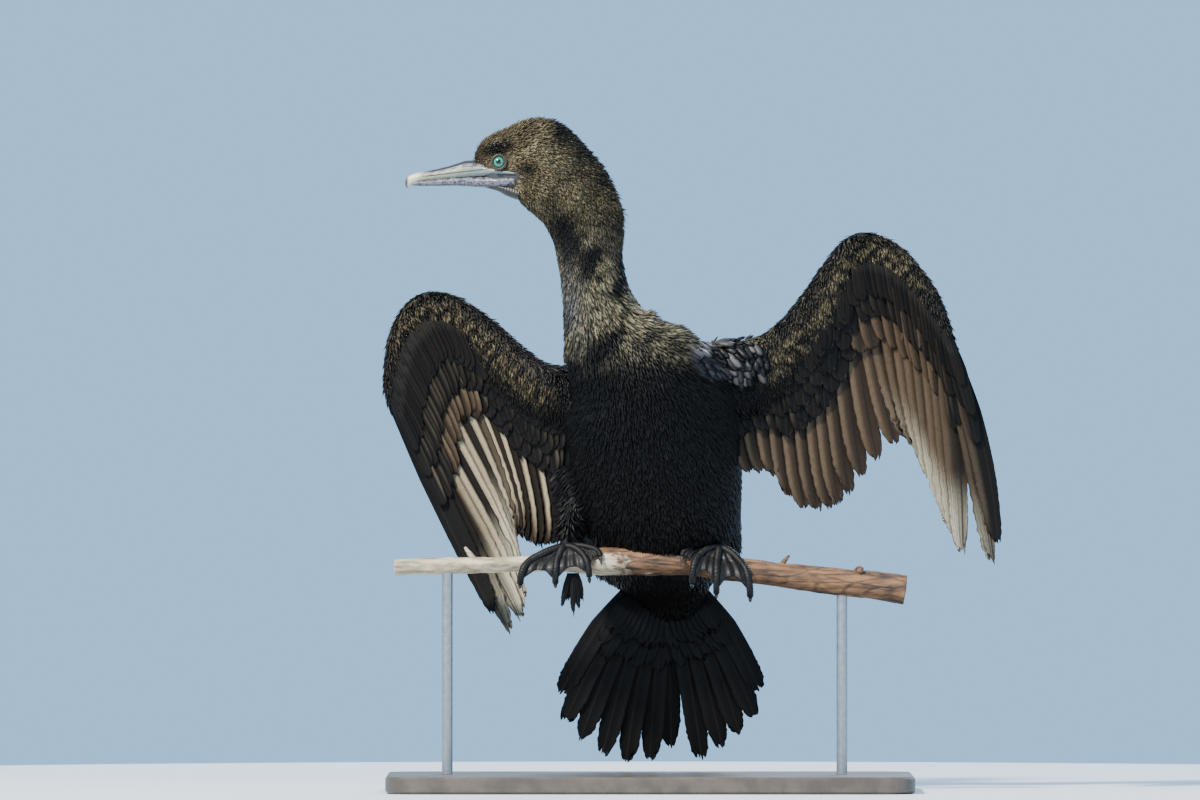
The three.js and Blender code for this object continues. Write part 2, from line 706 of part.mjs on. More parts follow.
function rodForm(x) {
  const height = perchAt(x).height - BASE_HEIGHT - GAP;
  const rod = new THREE.CylinderGeometry(ROD_RADIUS, ROD_RADIUS, height, 16);
  rod.rotateX(Math.PI / 2);
  rod.translate(x, 0, BASE_HEIGHT + GAP + height / 2);
  return largest(solid(rod).subtract(perchRoom));
}

// Surfaces
const finish = (color, roughness, metalness = 0) => new THREE.MeshStandardMaterial({ color, roughness, metalness });
const plumage = finish(0x1f1b16, 0.72);
const headPlumage = finish(0x332b20, 0.8);
const flightFeathers = finish(0x4c443c, 0.6);
const tailFeathers = finish(0x17171a, 0.5);
const horn = finish(0x6f7a80, 0.4);
const darkHorn = finish(0x4b4a52, 0.5);
const bareSkin = finish(0x26242b, 0.6);
const eyeGlass = finish(0x1f8f5c, 0.08);
const lidSkin = finish(0x2c2320, 0.55);
const footSkin = finish(0x18171a, 0.4);
const bark = finish(0x8f7a66, 0.85);
const standPaint = finish(0x3a3d40, 0.5);

const group = new THREE.Group();
function place(name, form, material) {
  const { vertProperties, triVerts } = form.getMesh();
  const geometry = new THREE.BufferGeometry();
  geometry.setAttribute("position", new THREE.Float32BufferAttribute(vertProperties, 3));
  geometry.setIndex(Array.from(triVerts));
  const mesh = new THREE.Mesh(geometry, material);
  mesh.name = name;
  group.add(mesh);
}
place("head", head, headPlumage);
place("neck", neck, headPlumage);
place("torso", torso, plumage);
place("tail", tail, tailFeathers);
place("wing_left", wingLeft, flightFeathers);
place("wing_right", wingRight, flightFeathers);
place("bill_upper", billUpper, horn);
place("bill_lower", billLower, darkHorn);
place("gular_pouch", gular, bareSkin);
// The bird faces -Y, so its left side is the +X side; its turned head shows its left to -Y
[["left", -1], ["right", 1]].forEach(([side, way]) => {
  place(`eye_${side}`, eyeForm(way, 0), eyeGlass);
  place(`lid_${side}`, largest(lidForm(way)), lidSkin);
});
place("leg_left", left.shank, footSkin);
place("leg_right", right.shank, footSkin);
place("foot_left", left.sole, footSkin);
place("foot_right", right.sole, footSkin);
const CLAW_NAMES = ["outer", "middle", "inner", "hind"];
[["left", leftFoot], ["right", rightFoot]].forEach(([side, foot]) => {
  foot.claws.forEach((claw, index) => {
    place(`claw_${side}_${CLAW_NAMES[index]}`, largest(cut(claw, [perchRoom])), darkHorn);
  });
});
place("perch", perch, bark);
place("stand_rod_left", rodForm(ROD_RIGHT_X), standPaint);
place("stand_rod_right", rodForm(ROD_LEFT_X), standPaint);
place("stand_base", baseForm(), standPaint);

export default group;
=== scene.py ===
import math

import bmesh
import bpy
import mathutils
import mathutils.bvhtree
import numpy as np
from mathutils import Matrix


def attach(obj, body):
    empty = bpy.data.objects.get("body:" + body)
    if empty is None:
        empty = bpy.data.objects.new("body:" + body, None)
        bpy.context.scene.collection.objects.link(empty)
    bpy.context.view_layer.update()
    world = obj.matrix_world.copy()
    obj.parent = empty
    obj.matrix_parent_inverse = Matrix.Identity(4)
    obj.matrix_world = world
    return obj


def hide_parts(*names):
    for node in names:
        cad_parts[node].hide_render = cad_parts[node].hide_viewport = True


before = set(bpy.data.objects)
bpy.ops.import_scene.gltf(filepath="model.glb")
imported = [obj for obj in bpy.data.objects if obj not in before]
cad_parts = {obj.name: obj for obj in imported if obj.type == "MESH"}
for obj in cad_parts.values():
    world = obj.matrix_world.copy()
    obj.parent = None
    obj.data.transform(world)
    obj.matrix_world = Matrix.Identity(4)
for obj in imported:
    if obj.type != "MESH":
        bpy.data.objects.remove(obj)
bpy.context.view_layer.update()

MM = 0.001


# Curves and small vector helpers, all in millimetres until a mesh is made

def unit(v):
    v = np.asarray(v, float)
    return v / np.maximum(np.linalg.norm(v, axis=-1, keepdims=True), 1e-9)


def mix(a, b, t):
    return a + (b - a) * t


def smoothstep(x, low, high):
    t = np.clip((x - low) / (high - low), 0, 1)
    return t * t * (3 - 2 * t)


def spline(rows, s):
    """Points of an even Catmull-Rom curve through the rows."""
    rows = np.asarray(rows, float)
    ends = np.vstack([2 * rows[0] - rows[1], rows, 2 * rows[-1] - rows[-2]])
    place = np.clip(np.atleast_1d(np.asarray(s, float)), 0, 1) * (len(rows) - 1)
    i = np.minimum(place.astype(int), len(rows) - 2)
    t = (place - i)[:, None]
    a, b, c, d = ends[i], ends[i + 1], ends[i + 2], ends[i + 3]
    m0, m1 = 0.5 * (c - a), 0.5 * (d - b)
    return (
        b * (2 * t**3 - 3 * t**2 + 1) + m0 * (t**3 - 2 * t**2 + t)
        + c * (3 * t**2 - 2 * t**3) + m1 * (t**3 - t**2)
    )


def tangents(rows, s):
    s = np.atleast_1d(np.asarray(s, float))
    step = 1e-3
    return unit(spline(rows, np.clip(s + step, 0, 1)) - spline(rows, np.clip(s - step, 0, 1)))


def across(base, along):
    """The part of base that stands square to along."""
    base = np.broadcast_to(np.asarray(base, float), along.shape)
    return unit(base - along * np.sum(base * along, axis=-1, keepdims=True))


# Meshes

def placed(name, data):
    """A new object in the scene, at the origin, that shows the mesh, lamp or camera."""
    thing = bpy.data.objects.new(name, data)
    bpy.context.collection.objects.link(thing)
    return thing


def smooth_faces(mesh):
    mesh.polygons.foreach_set("use_smooth", [True] * len(mesh.polygons))


def mesh_object(name, points, faces):
    mesh = bpy.data.meshes.new(name)
    points = np.asarray(points, float) * MM
    mesh.from_pydata(points.tolist(), [], [tuple(face) for face in faces])
    mesh.validate()
    mesh.update()
    smooth_faces(mesh)
    return placed(name, mesh)


def array_object(name, points, faces, values, patch, material):
    """A mesh straight from arrays, with values at its points and their places on the bake map."""
    mesh = bpy.data.meshes.new(name)
    mesh.vertices.add(len(points))
    mesh.vertices.foreach_set("co", (points * MM).ravel())
    mesh.loops.add(faces.size)
    mesh.loops.foreach_set("vertex_index", faces.ravel().astype(np.int32))
    mesh.polygons.add(len(faces))
    mesh.polygons.foreach_set("loop_start", np.arange(0, faces.size, faces.shape[1], dtype=np.int32))
    mesh.update(calc_edges=True)
    smooth_faces(mesh)
    for key, value in values.items():
        layer = mesh.attributes.new(key, "FLOAT", "POINT")
        layer.data.foreach_set("value", value.astype(np.float32))
    layer = mesh.uv_layers.new(name="OFBake")
    layer.data.foreach_set("uv", patch[faces.ravel()].astype(np.float32).ravel())
    mesh.materials.append(material)
    return placed(name, mesh)


def closed_object(name, form, material=None):
    """A closed form from its points and faces, with every face turned outwards."""
    thing = mesh_object(name, *form)
    work = bmesh.new()
    work.from_mesh(thing.data)
    bmesh.ops.recalc_face_normals(work, faces=work.faces)
    work.to_mesh(thing.data)
    work.free()
    if material is not None:
        thing.data.materials.append(material)
    return thing


def apply_modifiers(thing):
    graph = bpy.context.evaluated_depsgraph_get()
    fresh = bpy.data.meshes.new_from_object(thing.evaluated_get(graph))
    thing.modifiers.clear()
    old = thing.data
    thing.data = fresh
    bpy.data.meshes.remove(old)


def tube_faces(rings, sides):
    """Quads from ring to ring, then a fan of triangles to the point at each end."""
    faces = []
    for i in range(rings - 1):
        for j in range(sides):
            k = (j + 1) % sides
            faces.append((i * sides + j, i * sides + k, (i + 1) * sides + k, (i + 1) * sides + j))
    first, last = rings * sides, rings * sides + 1
    for j in range(sides):
        k = (j + 1) % sides
        faces.append((first, k, j))
        faces.append((last, first - sides + j, first - sides + k))
    return faces


def loft_arrays(stations, side, rings, sides, caps=(3, 3), grow=0.0, shape=None):
    """A rounded form along stations of x, y, z, half width and half depth."""
    stations = np.asarray(stations, float)
    along = np.linspace(0, 1, rings)
    centre = spline(stations[:, :3], along)
    girth = spline(stations[:, 3:5], along) + grow
    ahead = tangents(stations[:, :3], along)
    right = across(side, ahead)
    up = np.cross(ahead, right)
    turn = np.linspace(0, 2 * math.pi, sides, endpoint=False)
    cos, sin = np.cos(turn)[None, :, None], np.sin(turn)[None, :, None]
    out = right[:, None] * cos * girth[:, None, :1] + up[:, None] * sin * girth[:, None, 1:]
    if shape is not None:
        out = out * shape(along[:, None], turn[None, :])[..., None]
    points = (centre[:, None] + out).reshape(-1, 3)
    points = np.vstack([
        points,
        centre[0] - ahead[0] * (caps[0] + grow),
        centre[-1] + ahead[-1] * (caps[1] + grow),
    ])
    return points, tube_faces(rings, sides)


def loft_object(name, material, *form):
    return closed_object(name, loft_arrays(*form), material)


def combine(parts):
    """Several point and face lists in one."""
    points, faces, start = [], [], 0
    for spots, polygons in parts:
        points.append(np.asarray(spots, float))
        faces.extend(tuple(int(v) + start for v in face) for face in polygons)
        start += len(spots)
    return np.vstack(points), faces


# Shader maths: a value that adds, multiplies and compares as plain numbers do

class Value:
    def __init__(self, graph, socket):
        self.graph = graph
        self.socket = socket

    def apply(self, operation, *others):
        return self.graph.maths(operation, self, *others)

    def reflected(self, operation, other):
        return self.graph.maths(operation, other, self)

    def __add__(self, other):
        return self.apply("ADD", other)

    def __sub__(self, other):
        return self.apply("SUBTRACT", other)

    def __mul__(self, other):
        return self.apply("MULTIPLY", other)

    def __radd__(self, other):
        return self.reflected("ADD", other)

    def __rsub__(self, other):
        return self.reflected("SUBTRACT", other)

    def __rmul__(self, other):
        return self.reflected("MULTIPLY", other)

    def smooth(self, low, high):
        """Rises softly from 0 at low to 1 at high, or falls where high is the lesser."""
        settings = {"interpolation_type": "SMOOTHSTEP"}
        inputs = {"Value": self, "From Min": low, "From Max": high}
        return self.graph.value("ShaderNodeMapRange", settings, inputs, "Result")


class Graph:
    def __init__(self, name, **fixed):
        self.material = bpy.data.materials.new(name)
        self.material.use_nodes = True
        self.tree = self.material.node_tree
        self.surface = self.tree.nodes["Principled BSDF"]
        for key, value in fixed.items():
            self.surface.inputs[key.replace("_", " ")].default_value = value

    def feed(self, socket, item):
        if isinstance(item, Value):
            self.tree.links.new(item.socket, socket)
        elif item is not None:
            socket.default_value = item

    def node(self, kind, settings=None, inputs=None):
        node = self.tree.nodes.new(kind)
        for key, value in (settings or {}).items():
            setattr(node, key, value)
        for key, item in (inputs or {}).items():
            self.feed(node.inputs[key], item)
        return node

    def value(self, kind, settings=None, inputs=None, output=0):
        return Value(self, self.node(kind, settings, inputs).outputs[output])

    def maths(self, operation, *items):
        return self.value("ShaderNodeMath", {"operation": operation}, dict(enumerate(items)))

    def attribute(self, name, output="Fac"):
        return self.value("ShaderNodeAttribute", {"attribute_name": name}, None, output)

    def place(self):
        return self.value("ShaderNodeTexCoord", None, None, "Object")

    def axes(self, vector):
        node = self.node("ShaderNodeSeparateXYZ", None, {"Vector": vector})
        return [Value(self, node.outputs[i]) for i in range(3)]

    def vector(self, x, y, z):
        return self.value("ShaderNodeCombineXYZ", None, {"X": x, "Y": y, "Z": z})

    def noise(self, scale, detail=3, rough=0.55, vector=None):
        inputs = {"Scale": scale, "Detail": detail, "Roughness": rough}
        inputs["Vector"] = vector if vector is not None else self.place()
        return self.value("ShaderNodeTexNoise", None, inputs, "Fac")

    def cells(self, scale, vector=None, feature="F1"):
        inputs = {"Scale": scale, "Vector": vector if vector is not None else self.place()}
        return self.value("ShaderNodeTexVoronoi", {"feature": feature}, inputs, "Distance")

    def blend(self, share, first, second):
        first, second = (item if isinstance(item, Value) else (*item, 1) for item in (first, second))
        return self.value("ShaderNodeMix", {"data_type": "RGBA"}, {0: share, 6: first, 7: second}, 2)

    def scaled(self, colour, amount):
        return self.value("ShaderNodeVectorMath", {"operation": "SCALE"}, {0: colour, "Scale": amount})

    def bump(self, height, strength, distance):
        inputs = {"Height": height, "Strength": strength, "Distance": distance}
        self.feed(self.surface.inputs["Normal"], self.value("ShaderNodeBump", None, inputs))

    def paint(self, colour, rough):
        self.feed(self.surface.inputs["Base Color"], colour)
        self.feed(self.surface.inputs["Roughness"], rough)
        return self.material


# Forms of the bird, from the same named sizes as its solids

HEAD_Y = -26
HEAD_STATIONS = [
    [-129.5, HEAD_Y, 462, 4.5, 6],
    [-123.5, HEAD_Y, 463.6, 8.5, 16],
    [-115, HEAD_Y, 465, 12.5, 22.5],
    [-101.4, HEAD_Y, 465.4, 16.5, 27.5],
    [-83.7, HEAD_Y, 465.4, 20, 32.5],
    [-72.1, HEAD_Y, 455.1, 21, 32.5],
    [-57.9, HEAD_Y, 440.2, 20.5, 30.8],
    [-47.7, HEAD_Y, 418.8, 20, 29],
    [-44.4, -25, 393.7, 20.5, 25.5],
    [-41, -24, 372, 23, 25.5],
    [-36, -21, 352, 29, 30],
    [-29, -16, 332, 34, 38],
]
TORSO_STATIONS = [
    [-30, -22, 344, 34, 22],
    [-22, -20, 326, 47, 34],
    [-7, -13, 302, 61, 46],
    [1, -2, 275, 67, 54],
    [5, 14, 238, 66, 56],
    [5, 30, 205, 65, 52],
    [7, 45, 178, 62, 40],
    [11, 60, 152, 38, 25],
    [11, 66, 134, 30, 15],
    [11, 70, 122, 22, 7],
]
TORSO_SIDE = (0.96, -0.28, 0)
WRIST, HAND_END, ELBOW = 0.56, 0.97, 0.08
LEFT_WING = {
    "name": "left",
    "hand": 1,
    "sweep": 6,
    "bone": [
        [46, -14, 304, 30, 12], [68, -12, 306, 29, 11], [90, -8, 316, 25, 9.5], [109, -5, 334, 21, 8.5],
        [126, -3, 357, 19, 8], [140, -1, 380, 17, 7.5], [156, 0, 399, 16, 7], [176, -1.5, 396, 13, 6.2],
        [193, -4, 382, 11, 5.6], [208, -7, 363, 9, 5], [218, -10, 343, 6.5, 4.2], [225, -12, 325, 4, 3.4],
    ],
    "secondary": [
        [75, -6, 236], [92, -3, 234], [112, 0, 210], [130, 2, 209], [144, 4, 216], [162, 6, 239],
        [186, 8, 261],
    ],
    "primary": [
        [190, 10, 263], [197, 9, 256], [204, 8, 244], [209, 7, 232], [215, 6, 216],
        [221, 5, 200], [226, 4, 190], [232, 3, 178], [254, 1.5, 171], [258, 0, 184],
    ],
    "inner": (-0.145, 1, 0.03),
    "outer": (0, 1, 0),
}
RIGHT_WING = {
    "name": "right",
    "hand": -1,
    "sweep": 1,
    "bone": [
        [-44, 10, 288, 26, 11], [-64, 14, 291, 25, 10], [-84, 20, 298, 22, 9.5], [-104, 27, 314, 20, 8.5],
        [-126, 34, 336, 18, 8], [-148, 39, 353, 16, 7.5], [-166, 42, 357, 14, 6.8],
        [-180, 42.5, 348, 10.5, 6], [-188.5, 42, 333, 8.5, 5.4], [-192.5, 41, 315, 7, 4.8],
        [-194, 40, 298, 5.5, 4.2], [-192.5, 38.5, 282, 3.5, 3.4],
    ],
    "secondary": [
        [-61, 34, 207], [-67, 35, 188], [-76, 37, 181], [-87, 38, 183], [-96, 39, 189], [-101, 40, 193],
    ],
    "primary": [
        [-102, 40, 191], [-102, 39.2, 184], [-101, 38.4, 176], [-99, 37.5, 166], [-97, 36.5, 155],
        [-95, 35.5, 144], [-95, 34.5, 135], [-97, 33.5, 128], [-105, 32, 118], [-117, 31, 131],
    ],
    "inner": (0.32, 1, 0.1),
    "outer": (0.02, 1, 0),
}
TAIL_ROOT = (11, 64, 143)
TAIL_SPREAD = 60
TAIL_TIPS = [
    [-66, 74, 72], [-63, 76, 51], [-51, 78, 38], [-35, 80, 26], [-18, 82, 20], [0, 83, 22],
    [16, 83, 31], [39, 82, 22], [54, 80, 31], [67, 78, 41], [78, 76, 54], [82, 74, 74],
]
PERCH = np.array([
    [-189, 165, 5.9], [-150, 166.3, 6.1], [-112, 167, 5.4], [-70, 168.5, 6.2], [-45, 169.5, 9.4],
    [-10, 170, 10.6], [30, 169.5, 10.2], [55, 165, 9.2], [90, 160.5, 8.8], [126, 156, 9.8],
    [160, 152.5, 10.2], [189, 148.5, 10.8],
])
EYE = (-111.7, 464.5)
TOE_RADIUS, WEB_THICKNESS = 2.9, 1.3
TOE_THIN = (1, 0.95, 0.9, 0.8)
FEET = {
    "left": {
        "ankle": (52, -1), "toes": (74, 49, 31, 24), "hook": (140, 140, 132, 70),
        "drape": (12, 13, 9, 0), "inward": -1,
    },
    "right": {
        "ankle": (-63, -1), "toes": (-96, -70, -45, -37), "hook": (142, 142, 128, 70),
        "drape": (9, 9, 5, 0), "inward": 1,
    },
}


def perch_at(x):
    """The height of the branch's middle and its radius at x."""
    line = spline(PERCH, np.linspace(0, 1, 400))
    return np.interp(x, line[:, 0], line[:, 1]), np.interp(x, line[:, 0], line[:, 2])


def leg_stations(foot, rows):
    """Stations up the leg, each given by inward, back and up from the ankle, then its two girths."""
    x, y = foot["ankle"]
    height, radius = perch_at(x)
    top, way = height + radius, foot["inward"]
    return [[x + way * inward, y + back, top + up, wide, deep] for inward, back, up, wide, deep in rows]


# Where each wing feather lies

def lay_at(wing, u):
    """Root, tip and back direction of a feather at u along the arm and hand."""
    bone = np.array(wing["bone"])
    root = spline(bone[:, :3], u)
    inner = spline(wing["secondary"], (u - ELBOW) / (WRIST - ELBOW))
    outer = spline(wing["primary"], (u - WRIST) / (HAND_END - WRIST))
    tip = np.where((np.asarray(u) < WRIST)[:, None], inner, outer)
    turn = smoothstep(np.asarray(u), 0.38, 0.8)[:, None]
    back = unit(mix(np.array(wing["inner"]), np.array(wing["outer"]), turn))
    return root, tip, back


def bend_at(wing, u):
    out = float(np.clip((u - WRIST) / (HAND_END - WRIST), 0, 1))
    return mix(3, 4, out), mix(-3, wing["sweep"], out)


def breadth(t, hold, tip_width):
    past = np.clip((t - hold) / (1 - hold), 0, 1)
    full = tip_width + (1 - tip_width) * np.sqrt(np.maximum(0, 1 - past**2))
    return np.where(t < 0.35, mix(0.45, 1, t / 0.35), full)


class Plumes:
    """Many feathers gathered into one mesh, each with its own place, tint and patch."""

    def __init__(self, name):
        self.name = name
        self.points, self.faces, self.patch, self.count = [], [], [], 0
        self.facts = {"along": [], "across": [], "tint": [], "pale": [], "worn": []}

    def add(self, points, faces, patch, **facts):
        self.points.append(points)
        self.faces.append(np.asarray(faces) + self.count)
        self.patch.append(patch)
        self.count += len(points)
        for key, item in facts.items():
            self.facts[key].append(np.broadcast_to(np.asarray(item, float), (len(points),)))

    def build(self, material):
        values = {key: np.concatenate(items) for key, items in self.facts.items()}
        faces, patch = np.vstack(self.faces), np.vstack(self.patch)
        return array_object(self.name, np.vstack(self.points), faces, values, patch, material)


def plate_faces(rows, columns):
    """Quads of a closed thin plate: a top grid, an under grid and the rim between them."""
    under = rows * columns
    faces = []
    for i in range(rows - 1):
        for j in range(columns - 1):
            a = i * columns + j
            b, c, d = a + 1, a + columns + 1, a + columns
            faces.append((a, b, c, d))
            faces.append((under + a, under + d, under + c, under + b))
    rim = list(range(columns))
    rim += [i * columns + columns - 1 for i in range(1, rows)]
    rim += [(rows - 1) * columns + j for j in range(columns - 2, -1, -1)]
    rim += [i * columns for i in range(rows - 2, 0, -1)]
    for a, b in zip(rim, rim[1:] + rim[:1]):
        faces.append((b, a, under + a, under + b))
    return faces


def feather_mesh(
    root, tip, back, hand, lead, trail, rows=24, half=4, tilt=0.15, bow=0.0, sweep=0.0, hold=0.7,
    tip_width=0.3, reach=1.0, lift=0.0, sunk=0.0, cup=0.12, ragged=0.0, thick=0.28, seed=0,
):
    """One vane with its raised shaft: points, quads, and each point's own measures along and across."""
    draw = np.random.default_rng(seed)
    ahead = unit(tip - root)
    back = across(back, ahead)
    leading = np.cross(ahead, back) * hand
    side = leading * math.cos(tilt) + back * math.sin(tilt)
    up = back * math.cos(tilt) - leading * math.sin(tilt)
    t = 1 - (1 - np.linspace(0, 1, rows)) ** 1.25
    columns = 2 * half + 1
    v = np.linspace(-1, 1, columns)
    v = np.sign(v) * np.abs(v) ** 0.85
    along = t * reach
    hump = 4 * along * (1 - along)
    rise = bow * hump + mix(sunk, lift, np.minimum(1, t * 2.5))
    centre = root + (tip - root) * along[:, None] + back * rise[:, None]
    centre = centre + leading * (sweep * hump)[:, None]
    wide = breadth(t, hold, tip_width)[:, None]
    out = np.where(v > 0, v * lead, v * trail)[None, :] * wide
    wear = draw.normal(0, 1, (1, columns)) * ragged
    slip = (np.abs(v)[None, :] ** 1.5) * 0.35 + wear * smoothstep(t, 0.75, 1)[:, None]
    edge = (draw.random((rows, 1)) - 0.5) * ragged * 0.5 * smoothstep(t, 0.5, 1)[:, None]
    out = out * (1 + edge * np.abs(v)[None, :])
    dome = (1 - v[None, :] ** 2) * cup * (lead + trail) * 0.25 * wide
    back_slip = -(slip * min(lead, trail) * 0.6) * smoothstep(t, 0.55, 1)[:, None]
    ridge = np.exp(-(v / 0.12) ** 2)[None, :] * mix(0.55, 0.08, t)[:, None]
    body = centre[:, None, :] + side * out[..., None] + ahead * back_slip[..., None]
    top = body + up * (dome + thick / 2 + ridge)[..., None]
    low = body + up * (dome - thick / 2 - ridge * 0.9)[..., None]
    points = np.vstack([top.reshape(-1, 3), low.reshape(-1, 3)])
    measure_t = np.tile(np.repeat(t, columns), 2)
    measure_v = np.tile(np.tile(v, rows), 2)
    return points, plate_faces(rows, columns), measure_t, measure_v


def cell_patch(index, total, t, v, under):
    """A feather's own rectangle on the bake map, its two faces side by side."""
    wide = math.ceil(math.sqrt(total * 2.2))
    high = math.ceil(total / wide)
    column, row = index % wide, index // wide
    x = (v + 1) / 2 * 0.44 + under * 0.48 + 0.03
    y = t * 0.92 + 0.04
    return np.stack([(column + x) / wide, (row + y) / high], axis=1)


def add_feather(plumes, index, total, tint, pale, worn=0.0, **plan):
    points, faces, t, v = feather_mesh(**plan)
    under = np.repeat([0, 1], len(t) // 2)
    patch = cell_patch(index, total, t, v, under)
    plumes.add(points, faces, patch, along=t, across=v, tint=tint, pale=pale, worn=worn)


# Materials

def rgb(r, g, b):
    """A colour given as on a screen, 0 to 255, as the render counts light."""
    return tuple((c / 255) ** 2.2 for c in (r, g, b))


def plumage_material(name, rough, grain):
    """Small feathers and skin: the tone they carry, darker at the root, with fine barbs."""
    g = Graph(name, Specular_IOR_Level=0.16)
    tone = g.attribute("tone", "Color")
    along = g.attribute("along")
    fine = g.noise(grain, 4)
    light = (along.smooth(0.15, 0.95) * 0.75 + 0.45) * (fine * 0.9 + 0.55)
    return g.paint(g.scaled(tone, light), fine * 0.25 + rough)


def vane_material(name, dark, mid, silver, rough):
    """Flight feathers: a dark shaft, a paler inner vane, a worn pale end, barbs across; painted light
    across each vane, lighter on one side, and painted shade along its rims, where the feathers overlap.
    """
    g = Graph(name, Specular_IOR_Level=0.14)
    along, cross = g.attribute("along"), g.attribute("across")
    tint, pale, worn = g.attribute("tint"), g.attribute("pale"), g.attribute("worn")
    grain = g.noise(420, 4)
    streak = g.noise(60, 3, 0.6, g.vector(cross * 0.25, along * 0.02, tint * 9))
    # Painted light and shade: each vane lighter towards its lit side, darker towards the other.
    lit_side = cross.smooth(-0.12, -0.8)
    inner = cross.smooth(-0.4, -0.78) * along.smooth(1.0, 0.8) * pale * (streak * 0.8 + 0.5)
    body = g.blend(tint * (lit_side * 0.65 + 0.35), dark, mid)
    body = g.blend(inner.apply("MINIMUM", 1.0), body, silver)
    ends = along.smooth(0.64, 0.9) * worn * (streak.smooth(0.32, 0.66) * 0.75 + 0.1)
    # The worn end is brighter on the lit side too: painted light.
    ends = ends * (lit_side * 0.6 + 0.4)
    body = g.blend(ends, body, rgb(196, 186, 160))
    shaft = (cross * cross).smooth(0.012, 0.002)
    body = g.blend(shaft * 0.75, body, rgb(30, 25, 22))
    # Painted shade: darker along the vane's rims, where the feathers overlap.
    edge = (cross * cross).smooth(0.72, 1.0) * 0.6
    body = g.blend(edge, body, rgb(22, 19, 17))
    slant = along * 260 - (cross * cross).apply("POWER", 0.5) * 46
    barbs = slant.apply("SINE") * 0.5 + 0.5
    body = g.scaled(body, (grain * 0.7 + 0.65) * (barbs * 0.16 + 0.92))
    g.bump(barbs * 0.6 + grain * 0.4, 0.35, 0.0003)
    return g.paint(body, grain * 0.25 + rough)


def plain_material(name, low, high, scale, rough, coat=0.0, bump=0.4, depth=0.0004, detail=5, shine=0.5):
    g = Graph(name, Coat_Weight=coat, Coat_Roughness=0.25, Specular_IOR_Level=shine)
    grain = g.noise(scale, detail)
    g.bump(grain, bump, depth)
    return g.paint(g.blend(grain.smooth(0.35, 0.68), low, high), grain * 0.2 + rough)


def bill_material():
    """A dark ridge, pale greenish horn sides with a fine dark line, and a clear hooked nail."""
    g = Graph("horn", Coat_Weight=0.25, Coat_Roughness=0.3)
    x, _, z = g.axes(g.place())
    far, high = x * 1000 + 180, z * 1000
    flake = g.noise(900, 5)
    streaks = g.noise(500, 4, 0.6, g.vector(x * 0.12, 0, z))
    crest = high - far * 0.155 + (flake - 0.5) * 2.2
    side = g.blend(far.smooth(4, 60), rgb(160, 157, 130), rgb(122, 132, 124))
    side = g.blend(streaks.smooth(0.52, 0.68) * 0.6, side, rgb(84, 82, 86))
    line = (high - far * 0.115 - 452.6).apply("ABSOLUTE").smooth(0.75, 0.25) * far.smooth(6, 18)
    side = g.blend(line * 0.85, side, rgb(46, 44, 44))
    side = g.blend(crest.smooth(452.3, 454.5) * far.smooth(6, 20), side, rgb(40, 38, 42))
    nail = far.smooth(13, 5)
    side = g.blend(nail * 0.7, side, rgb(204, 198, 172))
    side = g.blend(far.smooth(2.2, 0.2), side, rgb(70, 64, 58))
    g.bump(flake, 0.35, 0.0003)
    return g.paint(side, flake * 0.3 + 0.28)


def mottled_material():
    """The lower half of the bill, mottled violet-grey over horn."""
    g = Graph("dark_horn", Coat_Weight=0.2, Coat_Roughness=0.3)
    blot = g.noise(520, 5)
    speck = g.cells(900)
    tone = g.blend(blot.smooth(0.42, 0.6), rgb(108, 108, 114), rgb(52, 47, 58))
    tone = g.blend(speck.smooth(0.28, 0.1) * 0.5, tone, rgb(168, 160, 146))
    g.bump(blot, 0.4, 0.0003)
    return g.paint(tone, blot * 0.3 + 0.3)


def eye_material():
    """Pupil, emerald iris with fine spokes and a dark rim, by distance from the eye's own axis."""
    g = Graph("eye", Coat_Weight=1.0, Coat_Roughness=0.02)
    x, _, z = g.axes(g.place())
    dx, dz = (x - EYE[0] * MM) * 1000, (z - EYE[1] * MM) * 1000
    far = (dx * dx + dz * dz).apply("SQRT")
    spokes = g.noise(2.2, 3, 0.6, g.vector(dz.apply("ARCTAN2", dx) * 6, far * 0.5, 0))
    iris = g.blend(spokes.smooth(0.3, 0.7), rgb(8, 84, 62), rgb(52, 158, 118))
    iris = g.blend(far.smooth(3.5, 4.6), iris, rgb(6, 22, 20))
    iris = g.blend(far.smooth(2.1, 1.8), iris, rgb(1, 1, 2))
    return g.paint(iris, 0.12)


def wood_material():
    """A cut branch: peeled grey wood, red-brown bark, and a broken edge where they meet."""
    g = Graph("bark")
    place = g.place()
    x, y, z = g.axes(place)
    stretch = g.vector(x * 0.22, y, z)
    grain = g.noise(190, 7, 0.65, stretch)
    patch = g.noise(38, 5, 0.6, g.vector(x * 0.6, y, z))
    bare = ((x * 1000 + 20) * -0.008 + (patch - 0.5) * 4.2 + 0.3).smooth(0.3, 0.55)
    crack = g.cells(150, stretch, "DISTANCE_TO_EDGE").smooth(0.0, 0.12)
    wood = g.blend(grain.smooth(0.3, 0.7), rgb(112, 98, 80), rgb(208, 192, 160))
    bark = g.blend(grain.smooth(0.3, 0.7), rgb(44, 31, 22), rgb(132, 94, 62))
    bark = g.scaled(bark, crack * 0.55 + 0.5)
    g.bump(grain * 0.6 + bare * -0.5 + crack * (1 - bare) * 0.4, 0.7, 0.0012)
    return g.paint(g.blend(bare, bark, wood), grain * 0.2 + 0.62)


def scale_material():
    """Large scale feathers: a black border round a glossy middle, near black on most and grey on a random
    few, the grey a painted sheen.
    """
    g = Graph("scale_plumage", Specular_IOR_Level=0.22)
    along, cross = g.attribute("along"), g.attribute("cross")
    rim = (cross * cross).smooth(0.95, 0.45) * along.smooth(1.0, 0.82)
    grain = g.noise(700, 4)
    # Painted sheen: the middle goes grey where this share is high, on a random few scales.
    middle = g.blend(g.attribute("painted_sheen"), rgb(24, 23, 24), rgb(92, 89, 88))
    return g.paint(g.blend(rim * (grain * 0.5 + 0.6), rgb(10, 10, 11), middle), grain * 0.2 + 0.34)


